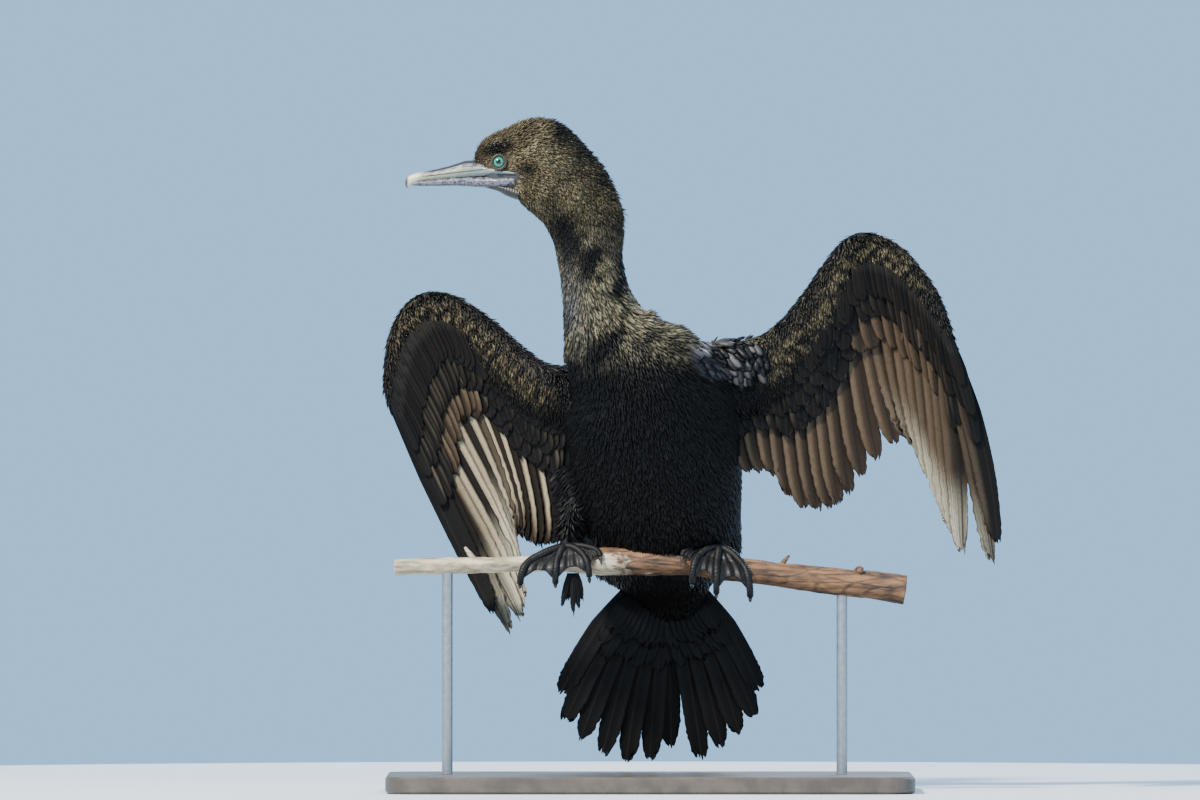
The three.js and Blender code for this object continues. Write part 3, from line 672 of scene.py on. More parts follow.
BODY_PLUMES = plumage_material("plumage", 0.36, 900)
SCALES = scale_material()
HEAD_PLUMES = plumage_material("head_plumage", 0.5, 1200)
BLACK = rgb(8, 8, 8)
LEFT_VANES = vane_material("flight_feathers", BLACK, rgb(76, 61, 46), rgb(112, 95, 76), 0.5)
RIGHT_VANES = vane_material("flight_feathers_under", BLACK, rgb(66, 53, 40), rgb(150, 136, 110), 0.5)
TAIL_VANES = vane_material("tail_feathers", rgb(9, 9, 9), rgb(24, 21, 19), rgb(34, 30, 27), 0.42)
FOOT = plain_material("foot_skin", BLACK, rgb(30, 28, 27), 700, 0.46, 0.04, 0.5, 0.0004, 5, 0.22)
CLAW = plain_material("claw_horn", rgb(10, 10, 10), rgb(52, 48, 44), 500, 0.28, 0.4, 0.2)
BARE = plain_material("bare_skin", rgb(12, 10, 10), rgb(52, 45, 36), 900, 0.45, 0.1)
LID = plain_material("lid_skin", rgb(18, 15, 12), rgb(74, 62, 44), 1200, 0.5, 0.05)
ROD = plain_material("stand_rod", rgb(150, 152, 154), rgb(160, 162, 164), 260, 0.3, 0.0, 0.05)
BASE_PAINT = plain_material("stand_base", rgb(70, 62, 54), rgb(88, 78, 68), 60, 0.42, 0.15, 0.05)
HORN, MOTTLED, EYE_PAINT, WOOD = bill_material(), mottled_material(), eye_material(), wood_material()
ROD.node_tree.nodes["Principled BSDF"].inputs["Metallic"].default_value = 0.85


# The skin under the coat

SKIN_INSET = {"head": -2.0, "torso": -3.4, "arm": -1.4}
SKIN_GRAIN, SKIN_SOFTENING = 0.0019, 6
UNWRAP_ANGLE, UNWRAP_GAP = 66, 0.004


def arm_stations(wing):
    return [[x, y, z, thick, chord] for x, y, z, chord, thick in wing["bone"]]


skin_parts = [
    loft_arrays(HEAD_STATIONS, (0, 1, 0), 90, 48, (1, 4), SKIN_INSET["head"]),
    loft_arrays(TORSO_STATIONS, TORSO_SIDE, 90, 72, (4, 2), SKIN_INSET["torso"]),
]
for wing in (LEFT_WING, RIGHT_WING):
    skin_parts.append(loft_arrays(arm_stations(wing), wing["inner"], 90, 28, (3, 2), SKIN_INSET["arm"]))
THIGH = [(13, 34, 54, 22, 22), (9, 24, 37, 15, 15), (4, 12, 22, 9, 9), (1.5, 5, 12, 5, 5)]
for foot in FEET.values():
    skin_parts.append(loft_arrays(leg_stations(foot, THIGH), (1, 0, 0), 40, 28, (3, 1.5)))
skin = closed_object("skin", combine(skin_parts))
remesh = skin.modifiers.new("Even", "REMESH")
remesh.mode = "VOXEL"
remesh.voxel_size = SKIN_GRAIN
apply_modifiers(skin)
soften = skin.modifiers.new("Soft", "SMOOTH")
soften.iterations = SKIN_SOFTENING
apply_modifiers(skin)
smooth_faces(skin.data)
bpy.context.view_layer.objects.active = skin
skin.select_set(True)
bpy.ops.object.mode_set(mode="EDIT")
bpy.ops.mesh.select_all(action="SELECT")
bpy.ops.uv.smart_project(angle_limit=math.radians(UNWRAP_ANGLE), island_margin=UNWRAP_GAP)
bpy.ops.object.mode_set(mode="OBJECT")
skin.data.uv_layers[0].name = "OFBake"


# Markings that the skin and the coat share, with painted light and shade on the head, neck and wings

def waves(points, size, seed, layers=6):
    """A soft uneven value from -1 to 1 over space, its patches about size mm across."""
    draw = np.random.default_rng(seed)
    ways = unit(draw.normal(0, 1, (layers, 3))) * draw.uniform(0.7, 1.6, (layers, 1)) * 2 * math.pi / size
    return np.sin(points @ ways.T + draw.uniform(0, 7, layers)).sum(axis=1) / math.sqrt(layers) * 0.8


def bare_face(points):
    """The naked skin behind the bill, from the culmen's base down to the gape and chin."""
    x, z = points[:, 0], points[:, 2]
    under = (z < 460.2 - (x + 131.5) * 0.11) & (x < -97.5 - (454.5 - z) * 0.6) & (z > 438)
    return (under | (x < -134)) & (z > 400) & (np.abs(points[:, 1] - HEAD_Y) < 22)


def marking(points):
    x, y, z = points.T
    black, dark = np.array(rgb(15, 14, 14)), np.array(rgb(34, 30, 25))
    olive, straw = np.array(rgb(96, 84, 61)), np.array(rgb(139, 128, 100))
    grey, horn = np.array(rgb(80, 77, 74)), np.array(rgb(96, 96, 98))

    def on(share):
        return np.clip(share, 0, 1)[:, None]

    blotch = waves(points, 26, 41)
    speck = waves(points, 8, 42)
    # The olive and straw of the neck and head: partly the worn plumage's own brown, partly painted
    # sunlight on the lit neck and head.
    high = smoothstep(z, 404, 440)
    neck = smoothstep(z, 308, 366) * (1 - high)
    colour = np.broadcast_to(black, (len(z), 3))
    mottled = neck * smoothstep(blotch, -0.9, 0.4)
    colour = mix(colour, mix(dark, straw, on(0.55 + 0.4 * speck)), on(mottled))
    crown = smoothstep(z + 0.9 * x, 410, 430)
    fawn = mix(olive, straw, on(0.2 + 0.3 * speck))
    colour = mix(colour, mix(fawn, dark, on(0.25 + 0.3 * blotch + 0.55 * crown)), on(high))
    # Painted shadow: the neck darkened to black below the cheek, where the cheek casts its shadow.
    shade = np.exp(-((x + 73 - (438 - z) * 0.42) / 14) ** 2 - ((z - 412) / 30) ** 2)
    colour = mix(colour, black, on(shade * 1.15))
    nape = smoothstep(x + 0.45 * (z - 400), -42, -26) * (z > 372)
    colour = mix(colour, dark, on(nape * 0.65))
    front = np.exp(-((x + 60 - (372 - z) * 0.16) / 9) ** 2 - ((z - 366) / 27) ** 2)
    colour = mix(colour, grey, on(front * smoothstep(-y, 20, 34) * 0.9))
    brow = 1.2 * np.exp(-((x + 115 - (z - 473) * 0.9) / 11) ** 2 - ((z - 474) / 5.5) ** 2)
    brow = np.maximum(brow, 0.9 * np.exp(-((x + 93) / 8) ** 2 - ((z - 460) / 6) ** 2))
    colour = mix(colour, black, on(brow * 1.1))
    out = np.maximum(smoothstep(x, 74, 104), smoothstep(-x, 60, 92)) * (1 - smoothstep(z, 416, 424))
    ridge = np.maximum(lit_ridge(points, LEFT_WING), lit_ridge(points, RIGHT_WING))
    colour = mix(colour, mix(black, dark, on(0.5 + 0.5 * speck)), on(out))
    # Painted light: speckled olive and straw on the lit ridge below each wing's front edge.
    painted_ridge_light = ridge * out * smoothstep(speck, -0.7, 0.6)
    colour = mix(colour, mix(olive, straw, on(0.3 * speck)), on(painted_ridge_light * 0.6))
    return np.where(bare_face(points)[:, None], horn, colour)


def lit_ridge(points, wing):
    """The band of tiny feathers a little below the wing's front edge, seen from below, where light falls
    on the ridge: the mask of its painted light.
    """
    bone = np.array(wing["bone"])
    line = spline(bone[:, :3], np.linspace(0, 1, 80))
    gap = np.linalg.norm(points[:, None, ::2] - line[None, :, ::2], axis=2)
    near = np.argmin(gap, axis=1)
    fade = smoothstep(near / 79, 0.0, 0.15) * (1 - smoothstep(near / 79, 0.62, 0.85))
    band = np.exp(-((gap[np.arange(len(points)), near] - 3) / 6) ** 2)
    return band * fade * (points[:, 1] < line[near, 1] + 1)


def set_tone(mesh, colours):
    layer = mesh.attributes.new("tone", "FLOAT_COLOR", "POINT")
    full = np.ones((len(colours), 4), np.float32)
    full[:, :3] = colours
    layer.data.foreach_set("color", full.ravel())


skin_points = np.empty(len(skin.data.vertices) * 3)
skin.data.vertices.foreach_get("co", skin_points)
skin_points = skin_points.reshape(-1, 3) / MM
set_tone(skin.data, marking(skin_points) * 0.8)
along_layer = skin.data.attributes.new("along", "FLOAT", "POINT")
along_layer.data.foreach_set("value", np.full(len(skin_points), 0.35, np.float32))
skin.data.materials.append(BODY_PLUMES)


# Which way the feathers lie

HEAD, TORSO, ARM_LEFT, ARM_RIGHT = range(4)
KIND_GIRTH = np.array([30, 70, 20, 20])
BATCH = 4000


def flow_lines():
    """Sample places along the body and wings, each with its lay direction and region."""
    spots, ways, kinds = [], [], []
    for stations, kind in ((HEAD_STATIONS, HEAD), (TORSO_STATIONS, TORSO)):
        s = np.linspace(0, 1, 60)
        line = np.array(stations)[:, :3]
        spots.append(spline(line, s))
        ways.append(tangents(line, s))
        kinds.append(np.full(60, kind))
    for wing, kind in ((LEFT_WING, ARM_LEFT), (RIGHT_WING, ARM_RIGHT)):
        u = np.linspace(0.12, 1, 60)
        root, tip, _ = lay_at(wing, u)
        spots.append(root)
        ways.append(unit(tip - root))
        kinds.append(np.full(60, kind))
    return np.vstack(spots), np.vstack(ways), np.concatenate(kinds)


FLOW_SPOTS, FLOW_WAYS, FLOW_KINDS = flow_lines()


def flow_at(points):
    """The way the feathers lie at each point, and the region it belongs to."""
    girth = KIND_GIRTH[FLOW_KINDS]
    ways = np.empty_like(points)
    kinds = np.empty(len(points), int)
    for start in range(0, len(points), BATCH):
        part = points[start:start + BATCH]
        gap = np.linalg.norm(part[:, None] - FLOW_SPOTS[None], axis=2) / girth[None]
        weight = np.exp(-gap * 5)
        ways[start:start + BATCH] = unit(weight @ FLOW_WAYS)
        kinds[start:start + BATCH] = FLOW_KINDS[np.argmin(gap, axis=1)]
    trunk = (kinds == TORSO) | ((kinds == HEAD) & (points[:, 2] < 385))
    ways = unit(ways + trunk[:, None] * np.array([0.06, 0.34, 0]))
    return ways, kinds


# The small feathers

def skin_triangles():
    mesh = skin.data
    mesh.calc_loop_triangles()
    count = len(mesh.loop_triangles)
    corners = np.empty(count * 3, int)
    loops = np.empty(count * 3, int)
    mesh.loop_triangles.foreach_get("vertices", corners)
    mesh.loop_triangles.foreach_get("loops", loops)
    uv = np.empty(len(mesh.loops) * 2)
    mesh.uv_layers["OFBake"].data.foreach_get("uv", uv)
    normals = np.empty(len(mesh.vertices) * 3)
    mesh.vertices.foreach_get("normal", normals)
    corners, loops = corners.reshape(-1, 3), loops.reshape(-1, 3)
    return skin_points[corners], normals.reshape(-1, 3)[corners], uv.reshape(-1, 2)[loops]


TRI_POINTS, TRI_NORMALS, TRI_UV = skin_triangles()
TRI_AREA = np.linalg.norm(
    np.cross(TRI_POINTS[:, 1] - TRI_POINTS[:, 0], TRI_POINTS[:, 2] - TRI_POINTS[:, 0]), axis=1
) / 2


def sow(inside, cell, seed):
    """About one root to each cell of the skin that lies inside the region."""
    draw = np.random.default_rng(seed)
    middle = TRI_POINTS.mean(axis=1)
    area = TRI_AREA * inside(middle)
    tries = int(area.sum() / cell**2 * 4)
    chosen = draw.choice(len(area), tries, p=area / area.sum())
    a, b = np.sqrt(draw.random((tries, 1))), draw.random((tries, 1))
    shares = (1 - a, a * (1 - b), a * b)
    place = sum(share * TRI_POINTS[chosen, i] for i, share in enumerate(shares))
    normal = unit(sum(share * TRI_NORMALS[chosen, i] for i, share in enumerate(shares)))
    patch = sum(share * TRI_UV[chosen, i] for i, share in enumerate(shares))
    keys = np.floor(place / cell).astype(int)
    _, first = np.unique(keys, axis=0, return_index=True)
    keep = draw.permutation(first)
    return place[keep], normal[keep], patch[keep]


def tuft_shape(rows, widths):
    """A closed pointed blade: three-cornered rings, then a tip. Gives t, v, height and triangles."""
    t, v, high, faces = [], [], [], []
    for place, wide in zip(rows, widths):
        for side, lift in ((-1, 0), (0, 1), (1, 0)):
            t.append(place)
            v.append(side * wide)
            high.append(lift)
    t.append(1)
    v.append(0)
    high.append(0)
    last = len(t) - 1
    for i in range(len(rows) - 1):
        for j in range(3):
            a, b = i * 3 + j, i * 3 + (j + 1) % 3
            faces += [(a, b, b + 3), (a, b + 3, a + 3)]
    for j in range(3):
        faces.append((last - 3 + j, last - 3 + (j + 1) % 3, last))
    faces.append((2, 1, 0))
    return np.array(t, float), np.array(v, float), np.array(high, float), np.array(faces)


SKIN_TREE = mathutils.bvhtree.BVHTree.FromObject(skin, bpy.context.evaluated_depsgraph_get())


def sunk_by(points, clear):
    """How much each point lacks of standing clear of the skin, in mm."""
    lack = np.zeros(len(points))
    for i, spot in enumerate(points * MM):
        near, normal, _, _ = SKIN_TREE.find_nearest(spot)
        lack[i] = clear - (mathutils.Vector(spot) - near).dot(normal) / MM
    return np.maximum(lack, 0)


HAIRY = tuft_shape((0, 0.35, 0.72), (0.5, 1.0, 0.62))
SCALY = tuft_shape((0, 0.3, 0.62, 0.9), (0.45, 0.95, 1.0, 0.6))


def ruffled(points):
    """How far the feathers stand up: only along the rear of the crown and the nape."""
    x, z = points[:, 0], points[:, 2]
    crown = smoothstep(z - 0.55 * x, 516, 536)
    nape = smoothstep(x + 0.5 * (z - 400), -24, -8) * smoothstep(z, 385, 410)
    return np.maximum(crown, nape) * (x < 0) * (z > 385) * np.clip(waves(points, 5, 47) * 0.5 + 0.6, 0, 1)


BLADE_PATCH = (0.0014, 0.0028)
BLADE_HEIGHT = 0.16
SKIN_CLEARANCE, MOST_RAISED = 0.7, 0.9


def tufts(name, form, roots, long, wide, lift, curl, material, seed, light, swing, sink=0.8):
    """One mesh of tufts that lie along the flow, each a blade of its own length and lean."""
    draw = np.random.default_rng(seed)
    place, normal, patch = roots
    count = len(place)
    ways, _ = flow_at(place)
    lay = across(ways, normal)
    side = np.cross(normal, lay)
    turn = draw.normal(0, swing, (count, 1))
    lay, side = lay * np.cos(turn) + side * np.sin(turn), side * np.cos(turn) - lay * np.sin(turn)
    size = draw.uniform(0.75, 1.3, (count, 1, 1))
    length = (long(place) if callable(long) else np.full(count, long))[:, None, None] * size
    width = (wide(place) if callable(wide) else np.full(count, wide))[:, None, None] * size
    t, v, high, faces = form
    t3, v3, high3 = t[None, :, None], v[None, :, None], high[None, :, None]
    lean = draw.uniform(0.6, 1.25, (count, 1, 1)) * (lift + 0.3 * ruffled(place))[:, None, None]
    bend = draw.normal(1, 0.35, (count, 1, 1)) * curl
    ends = place + (lay[:, None] * length + normal[:, None] * (lean + bend) * length)[:, 0]
    lack = sunk_by(ends, SKIN_CLEARANCE)[:, None, None]
    lean = lean + np.minimum(1.2 * lack / length, MOST_RAISED)
    points = place[:, None] + lay[:, None] * t3 * length + side[:, None] * v3 * width / 2
    rise = (lean * t3 + bend * t3**2) * length + high3 * width * BLADE_HEIGHT - sink * (1 - t3)
    points = points + normal[:, None] * rise
    tone = marking(place) * draw.uniform(*light, (count, 1))
    spread = np.stack([v * BLADE_PATCH[0], (t - 0.5) * BLADE_PATCH[1]], axis=1)
    uv = (patch[:, None] + spread[None]).reshape(-1, 2)
    all_faces = (faces[None] + np.arange(count)[:, None, None] * len(t)).reshape(-1, 3)
    # Each tuft's share of painted sheen, read only by the shoulder scales.
    painted_sheen = np.repeat(draw.random(count) ** 4, len(t))
    values = {"along": np.tile(t, count), "painted_sheen": painted_sheen, "cross": np.tile(v, count)}
    thing = array_object(name, points.reshape(-1, 3), all_faces, values, uv, material)
    set_tone(thing.data, np.repeat(tone, len(t), axis=0))
    return thing


EYE_CLEARING = 6.2
EVERYWHERE = 1e9


def region(kind, z_low=-EVERYWHERE, z_high=EVERYWHERE):
    """A test for the skin of one region, away from the eyes and the bare face."""
    def test(points):
        _, kinds = flow_at(points)
        x, z = points[:, 0], points[:, 2]
        eye = (x - EYE[0]) ** 2 + (z - EYE[1]) ** 2 < EYE_CLEARING**2
        naked = (eye & (kinds == HEAD)) | bare_face(points)
        return (kinds == kind) & (z >= z_low) & (z < z_high) & ~naked
    return test


def head_long(points):
    return mix(3.0, 6.2, smoothstep(points[:, 0], -120, -72))


def head_wide(points):
    return mix(0.9, 1.7, smoothstep(points[:, 0], -120, -72))


def shoulder(points):
    """Where the large glossy scale feathers of the shoulder lie, on the camera's side and the back."""
    _, kinds = flow_at(points)
    x, y, z = points.T
    left = np.exp(-((x - 56) / 32) ** 2 - ((z - 322 + (x - 56) * 0.05) / 15) ** 2) > 0.4
    mantle = (y > 22) & (z > 214 + 26 * waves(points, 22, 48)) & (kinds == TORSO)
    return (left & ((kinds == TORSO) | (kinds == ARM_LEFT))) | mantle


def body_long(points):
    """Longer, looser feathers low on the belly and thighs."""
    return 8.5 + 5 * (1 - smoothstep(points[:, 2], 182, 212)) * smoothstep(points[:, 2], 158, 168)


CROWN_LINE, THROAT_LINE, BREAST_LINE = 464, 425, 246


def head_tufts(name, z_low, z_high, seed):
    roots = sow(region(HEAD, z_low, z_high), 1.0, seed)
    light, swing = (0.3, 1.7), 0.3
    return tufts(name, HAIRY, roots, head_long, head_wide, 0.16, 0.1, HEAD_PLUMES, seed + 10, light, swing)


def neck_tufts():
    roots = sow(region(HEAD, -EVERYWHERE, THROAT_LINE), 1.3, 22)
    return tufts("coat_neck", HAIRY, roots, 5.6, 1.5, 0.1, 0.08, HEAD_PLUMES, 32, (0.45, 1.5), 0.2)


def body_tufts(name, z_low, z_high, seed):
    roots = sow(region(TORSO, z_low, z_high), 2.1, seed)
    return tufts(name, HAIRY, roots, body_long, 2.5, 0.1, 0.05, BODY_PLUMES, seed + 10, (0.6, 1.45), 0.16)


def arm_tufts(name, kind, seed):
    roots = sow(region(kind), 1.7, seed)
    return tufts(name, HAIRY, roots, 6.0, 2.0, 0.1, 0.06, BODY_PLUMES, seed + 10, (0.5, 1.5), 0.2)


def shoulder_tufts():
    roots = sow(shoulder, 4.4, 26)
    return tufts("coat_shoulder", SCALY, roots, 12, 6.4, 0.13, 0.0, SCALES, 36, (1.0, 1.0), 0.14, -0.4)


coat = [
    head_tufts("coat_crown", CROWN_LINE, EVERYWHERE, 21),
    head_tufts("coat_cheek", THROAT_LINE, CROWN_LINE, 27),
    neck_tufts(),
    body_tufts("coat_breast", BREAST_LINE, EVERYWHERE, 23),
    body_tufts("coat_belly", -EVERYWHERE, BREAST_LINE, 28),
    arm_tufts("coat_arm_left", ARM_LEFT, 24),
    arm_tufts("coat_arm_right", ARM_RIGHT, 25),
    shoulder_tufts(),
]


# Flight feathers and the covert tiers of each wing

SECONDARIES, PRIMARIES = 12, 10
SECONDARY_SEED, PRIMARY_SEED, COVERT_SEED = 100, 140, 300
FLIGHT_THICK, COVERT_THICK = 0.34, 0.3
PLAIN_PALE = 0.25
PRIMARY_TINT = [0.75, 0.6, 0.85, 0.7, 0.55, 0.8, 0.6, 0.4, 0.12, 0.05]
PRIMARY_WORN = [0.1, 0.2, 0.5, 0.8, 1.0, 1.0, 0.9, 1.0, 0.5, 0.0]
# The right wing's primaries, dark and pale in turn: painted light on the lit feathers over their own pale
# inner vanes, painted shade on the others.
LIT_AND_SHADED_TINT = [0.4, 0.7, 0.15, 0.7, 0.6, 0.1, 0.7, 0.45, 0.1, 0.05]
LIT_AND_SHADED_PALE = [0.1, 0.9, 0.0, 0.8, 1.0, 0.0, 0.9, 0.6, 0.0, 0.0]
# How many, how far they reach, how high they stand, half their breadth, how pale
COVERT_TIERS = ((26, 0.5, 4.2, 8.0, 0.2), (34, 0.37, 6.0, 7.0, 0.08), (44, 0.25, 7.6, 5.4, 0.0))


def wing_feathers(wing, material):
    flight = Plumes("flight_feathers_" + wing["name"])
    tiers = Plumes("wing_coverts_" + wing["name"])
    draw = np.random.default_rng(50 + wing["hand"])
    lit_and_shaded = wing is RIGHT_WING
    primary_tint = LIT_AND_SHADED_TINT if lit_and_shaded else PRIMARY_TINT
    primary_pale = LIT_AND_SHADED_PALE if lit_and_shaded else [PLAIN_PALE] * PRIMARIES

    def growing(u):
        """The root, tip and curve of a feather at u along the arm and hand."""
        root, tip, back = (item[0] for item in lay_at(wing, np.array([u])))
        bow, sweep = bend_at(wing, u)
        return {"root": root, "tip": tip, "back": back, "hand": wing["hand"], "bow": bow, "sweep": sweep}

    total = SECONDARIES + PRIMARIES
    for i in range(SECONDARIES):
        share = i / (SECONDARIES - 1)
        # Painted shade: every other secondary of the right wing darker and without its pale inner vane.
        shaded = lit_and_shaded and i % 2 == 0
        tint = draw.uniform(0.45, 0.9) * (0.25 if shaded else 1)
        pale = 0.35
        if lit_and_shaded:
            pale = 0.0 if shaded else 1.0
        add_feather(
            flight, i, total, tint, pale, **growing(mix(0.08, 0.545, share)),
            lead=mix(6.2, 7, share), trail=mix(8.6, 9.6, share), rows=44, half=6,
            hold=0.78, tip_width=0.35, ragged=0.35, seed=SECONDARY_SEED + i, thick=FLIGHT_THICK,
        )
    for i in range(PRIMARIES):
        share = i / (PRIMARIES - 1)
        plan = growing(mix(0.58, 0.97, share))
        plan["tip"] = spline(wing["primary"], share)[0]
        add_feather(
            flight, SECONDARIES + i, total, primary_tint[i], primary_pale[i], worn=PRIMARY_WORN[i], **plan,
            lead=mix(5.5, 4.4, share), trail=mix(11, 12, share), rows=52, half=6,
            hold=0.6, tip_width=0.22, ragged=0.6, seed=PRIMARY_SEED + i, thick=FLIGHT_THICK,
        )
    total = 2 * sum(row[0] for row in COVERT_TIERS)
    index = 0
    for way in (-1, 1):
        for count, reach, lift, half_wide, pale in COVERT_TIERS:
            for i in range(count):
                u = mix(0.05, 0.93, (i + draw.uniform(-0.3, 0.3)) / (count - 1))
                u = float(np.clip(u, 0.05, 0.95))
                wide = half_wide * mix(1, 0.66, smoothstep(u, 0.5, 0.9))
                inner_long = mix(1.18, 0.96, smoothstep(u, 0.1, 0.45))
                brown = 0.7 * (reach > 0.45) * (0.5 < u < 0.8) + draw.uniform(0.0, 0.12)
                add_feather(
                    tiers, index, total, brown, pale * draw.uniform(0.2, 1), **growing(u),
                    lead=wide, trail=wide, rows=18, half=4, hold=0.72, tip_width=0.45,
                    reach=reach * draw.uniform(0.94, 1.05) * inner_long, sunk=way * 2.0, cup=0.16,
                    ragged=0.22, lift=way * (lift + draw.uniform(-0.4, 0.4)), seed=COVERT_SEED + index,
                    thick=COVERT_THICK,
                )
                index += 1
    return flight.build(material), tiers.build(material)


LEFT_FLIGHT, LEFT_TIERS = wing_feathers(LEFT_WING, LEFT_VANES)
RIGHT_FLIGHT, RIGHT_TIERS = wing_feathers(RIGHT_WING, RIGHT_VANES)


# Tail feathers and the coverts over their roots

# How many, how far they stand back and how far they reach, below and above the tail
TAIL_COVERTS = ((14, -5.4, 0.46), (14, 6.4, 0.47), (18, -7.5, 0.32), (18, 8.5, 0.33))
TAIL_SEED, TAIL_COVERT_SEED = 500, 540
TAIL_BACK = np.array([0, 1, 0.1])


def tail_root(share):
    outer = abs(2 * share - 1)
    x = TAIL_ROOT[0] + TAIL_SPREAD * (share - 0.5)
    return np.array([x, TAIL_ROOT[1] + 3 - 7 * outer, TAIL_ROOT[2] + 3])


def tail_feathers():
    plumes = Plumes("tail_vanes")
    draw = np.random.default_rng(77)
    count = len(TAIL_TIPS)
    total = count + sum(row[0] for row in TAIL_COVERTS)
    for i, tip in enumerate(TAIL_TIPS):
        share = i / (count - 1)
        nudge = np.array([0, 2 if i == count // 2 else 0, 0])
        add_feather(
            plumes, i, total, draw.uniform(0, 0.6), 0.3, root=tail_root(share) + nudge,
            tip=np.array(tip) + nudge, back=TAIL_BACK, hand=-1 if share < 0.5 else 1, lead=7.4, trail=9.0,
            rows=48, half=6, tilt=0.12, bow=-2, sweep=2 * abs(2 * share - 1), hold=0.8, tip_width=0.34,
            ragged=0.4, seed=TAIL_SEED + i, thick=0.4,
        )
    index = count
    for many, lift, reach in TAIL_COVERTS:
        for i in range(many):
            share = (i + 0.5) / many
            tip = spline(TAIL_TIPS, share)[0] + np.array([0, lift * 1.2, 0])
            add_feather(
                plumes, index, total, draw.uniform(0, 0.5), 0.1, tip=tip, back=TAIL_BACK,
                root=tail_root(0.5 + (share - 0.5) * 0.85), hand=-1 if share < 0.5 else 1,
                lead=6.5, trail=6.5, rows=20, half=4, tilt=0.12, bow=-1, hold=0.65, tip_width=0.35,
                reach=reach * draw.uniform(0.9, 1.08), lift=lift, sunk=lift * 0.3, ragged=0.4,
                seed=TAIL_COVERT_SEED + index, thick=COVERT_THICK,
            )
            index += 1
    return plumes.build(TAIL_VANES)


TAIL = tail_feathers()


# The bill and the bare throat

UPPER_BILL = [
    [-100, HEAD_Y, 456.2, 15.2, 1.6], [-108, HEAD_Y, 457.2, 13.8, 2.4], [-116, HEAD_Y, 458.4, 10.4, 3.8],
    [-124, HEAD_Y, 459.4, 7.8, 5.6], [-134, HEAD_Y, 459.6, 6.6, 6.3], [-147, HEAD_Y, 457.2, 5, 4.8],
    [-160, HEAD_Y, 455.2, 3.9, 3.7], [-170, HEAD_Y, 453.8, 3.3, 3.4], [-177, HEAD_Y, 451, 2.7, 3.3],
    [-179.3, HEAD_Y, 446.9, 1.5, 1.8],
]
LOWER_BILL = [
    [-100, HEAD_Y, 450.8, 14.2, 4.2], [-107, HEAD_Y, 450.4, 12.4, 4.8], [-115, HEAD_Y, 450, 8.8, 4.8],
    [-128, HEAD_Y, 450.2, 5.6, 4.0], [-143, HEAD_Y, 450.4, 4.4, 3.3], [-158, HEAD_Y, 449.6, 3.4, 2.6],
    [-169, HEAD_Y, 449, 2.7, 2.0], [-175, HEAD_Y, 448.6, 1.9, 1.4],
]
GULAR = [
    [-122, HEAD_Y, 448, 4, 2.2], [-112, HEAD_Y, 446.4, 7.4, 3.2], [-104, HEAD_Y, 443.8, 10, 4.6],
    [-97, HEAD_Y, 441.4, 11.5, 4.8],
]


def grooved(s, turn):
    """The long groove on each side, the nostril slit at its rear and a ridge above the edge."""
    height = -np.sin(turn)
    groove = np.exp(-((height - 0.4) / 0.12) ** 2)
    groove = groove * smoothstep(s, 0.08, 0.2) * (1 - smoothstep(s, 0.78, 0.9))
    slit = np.exp(-((height - 0.36) / 0.08) ** 2 - ((s - 0.27) / 0.035) ** 2)
    plates = 0.012 * np.sin(s * 90 + height * 4) * smoothstep(s, 0.1, 0.4)
    return 1 - 0.1 * groove - 0.12 * slit + plates


def ridged(s, turn):
    """Fine growth lines round the lower half, and a shallow furrow along each side."""
    furrow = 0.06 * np.exp(-((np.sin(turn) - 0.2) / 0.12) ** 2)
    return 1 + 0.015 * np.sin(s * 70 + np.sin(turn) * 3) - furrow


bill_upper = loft_object("upper_bill", HORN, UPPER_BILL, (0, 1, 0), 110, 44, (1, 1.4), 0, grooved)
bill_lower = loft_object("lower_bill", MOTTLED, LOWER_BILL, (0, 1, 0), 90, 36, (1, 1.2), 0, ridged)
throat = loft_object("throat_skin", BARE, GULAR, (0, 1, 0), 50, 32, (2, 2), 0, ridged)


# Eyes and their beaded lids

EYE_RADIUS, EYE_INSET = 5.6, 9.9
LID_RADIUS, LID_STAND, LID_THICK = 5.1, 4.3, 1.1
LID_SIDES, LID_ROUND, BEAD_EVERY = 72, 8, 3
BEAD_RADIUS, BEAD_END, BEAD_HALF = 0.5, 0.34, 0.45


def circle_xz(sides):
    turn = np.linspace(0, 2 * math.pi, sides, endpoint=False)
    return np.stack([np.cos(turn), 0 * turn, np.sin(turn)], axis=1)


def turned(profile, centre, front, sides=40):
    """A form turned about the Y axis from distance and outward height pairs."""
    rings = [centre + r * circle_xz(sides) + h * front for r, h in profile]
    ends = [centre + profile[i][1] * front for i in (0, -1)]
    return np.vstack(rings + ends), tube_faces(len(profile), sides)


def lid_form(centre, front):
    """A soft ring with a row of small beads round it."""
    circle = circle_xz(LID_SIDES)
    ring = centre + LID_RADIUS * circle + LID_STAND * front
    points, faces = [], []
    for i, (spot, out) in enumerate(zip(ring, circle)):
        here, ahead = i * LID_ROUND, (i + 1) % LID_SIDES * LID_ROUND
        for j in range(LID_ROUND):
            k = (j + 1) % LID_ROUND
            turn = 2 * math.pi * j / LID_ROUND
            points.append(spot + out * math.cos(turn) + front * math.sin(turn) * LID_THICK)
            faces.append((here + j, here + k, ahead + k, ahead + j))
    parts = [(points, faces)]
    rise = np.array([0, 0, BEAD_HALF])
    for spot, out in zip(ring[::BEAD_EVERY], circle[::BEAD_EVERY]):
        middle = spot + out * 0.75 + front * 0.7
        rows = [
            [*(middle - rise), BEAD_END, BEAD_END], [*middle, BEAD_RADIUS, BEAD_RADIUS],
            [*(middle + rise), BEAD_END, BEAD_END],
        ]
        parts.append(loft_arrays(rows, (1, 0, 0), 4, 6, (0.2, 0.2)))
    return combine(parts)


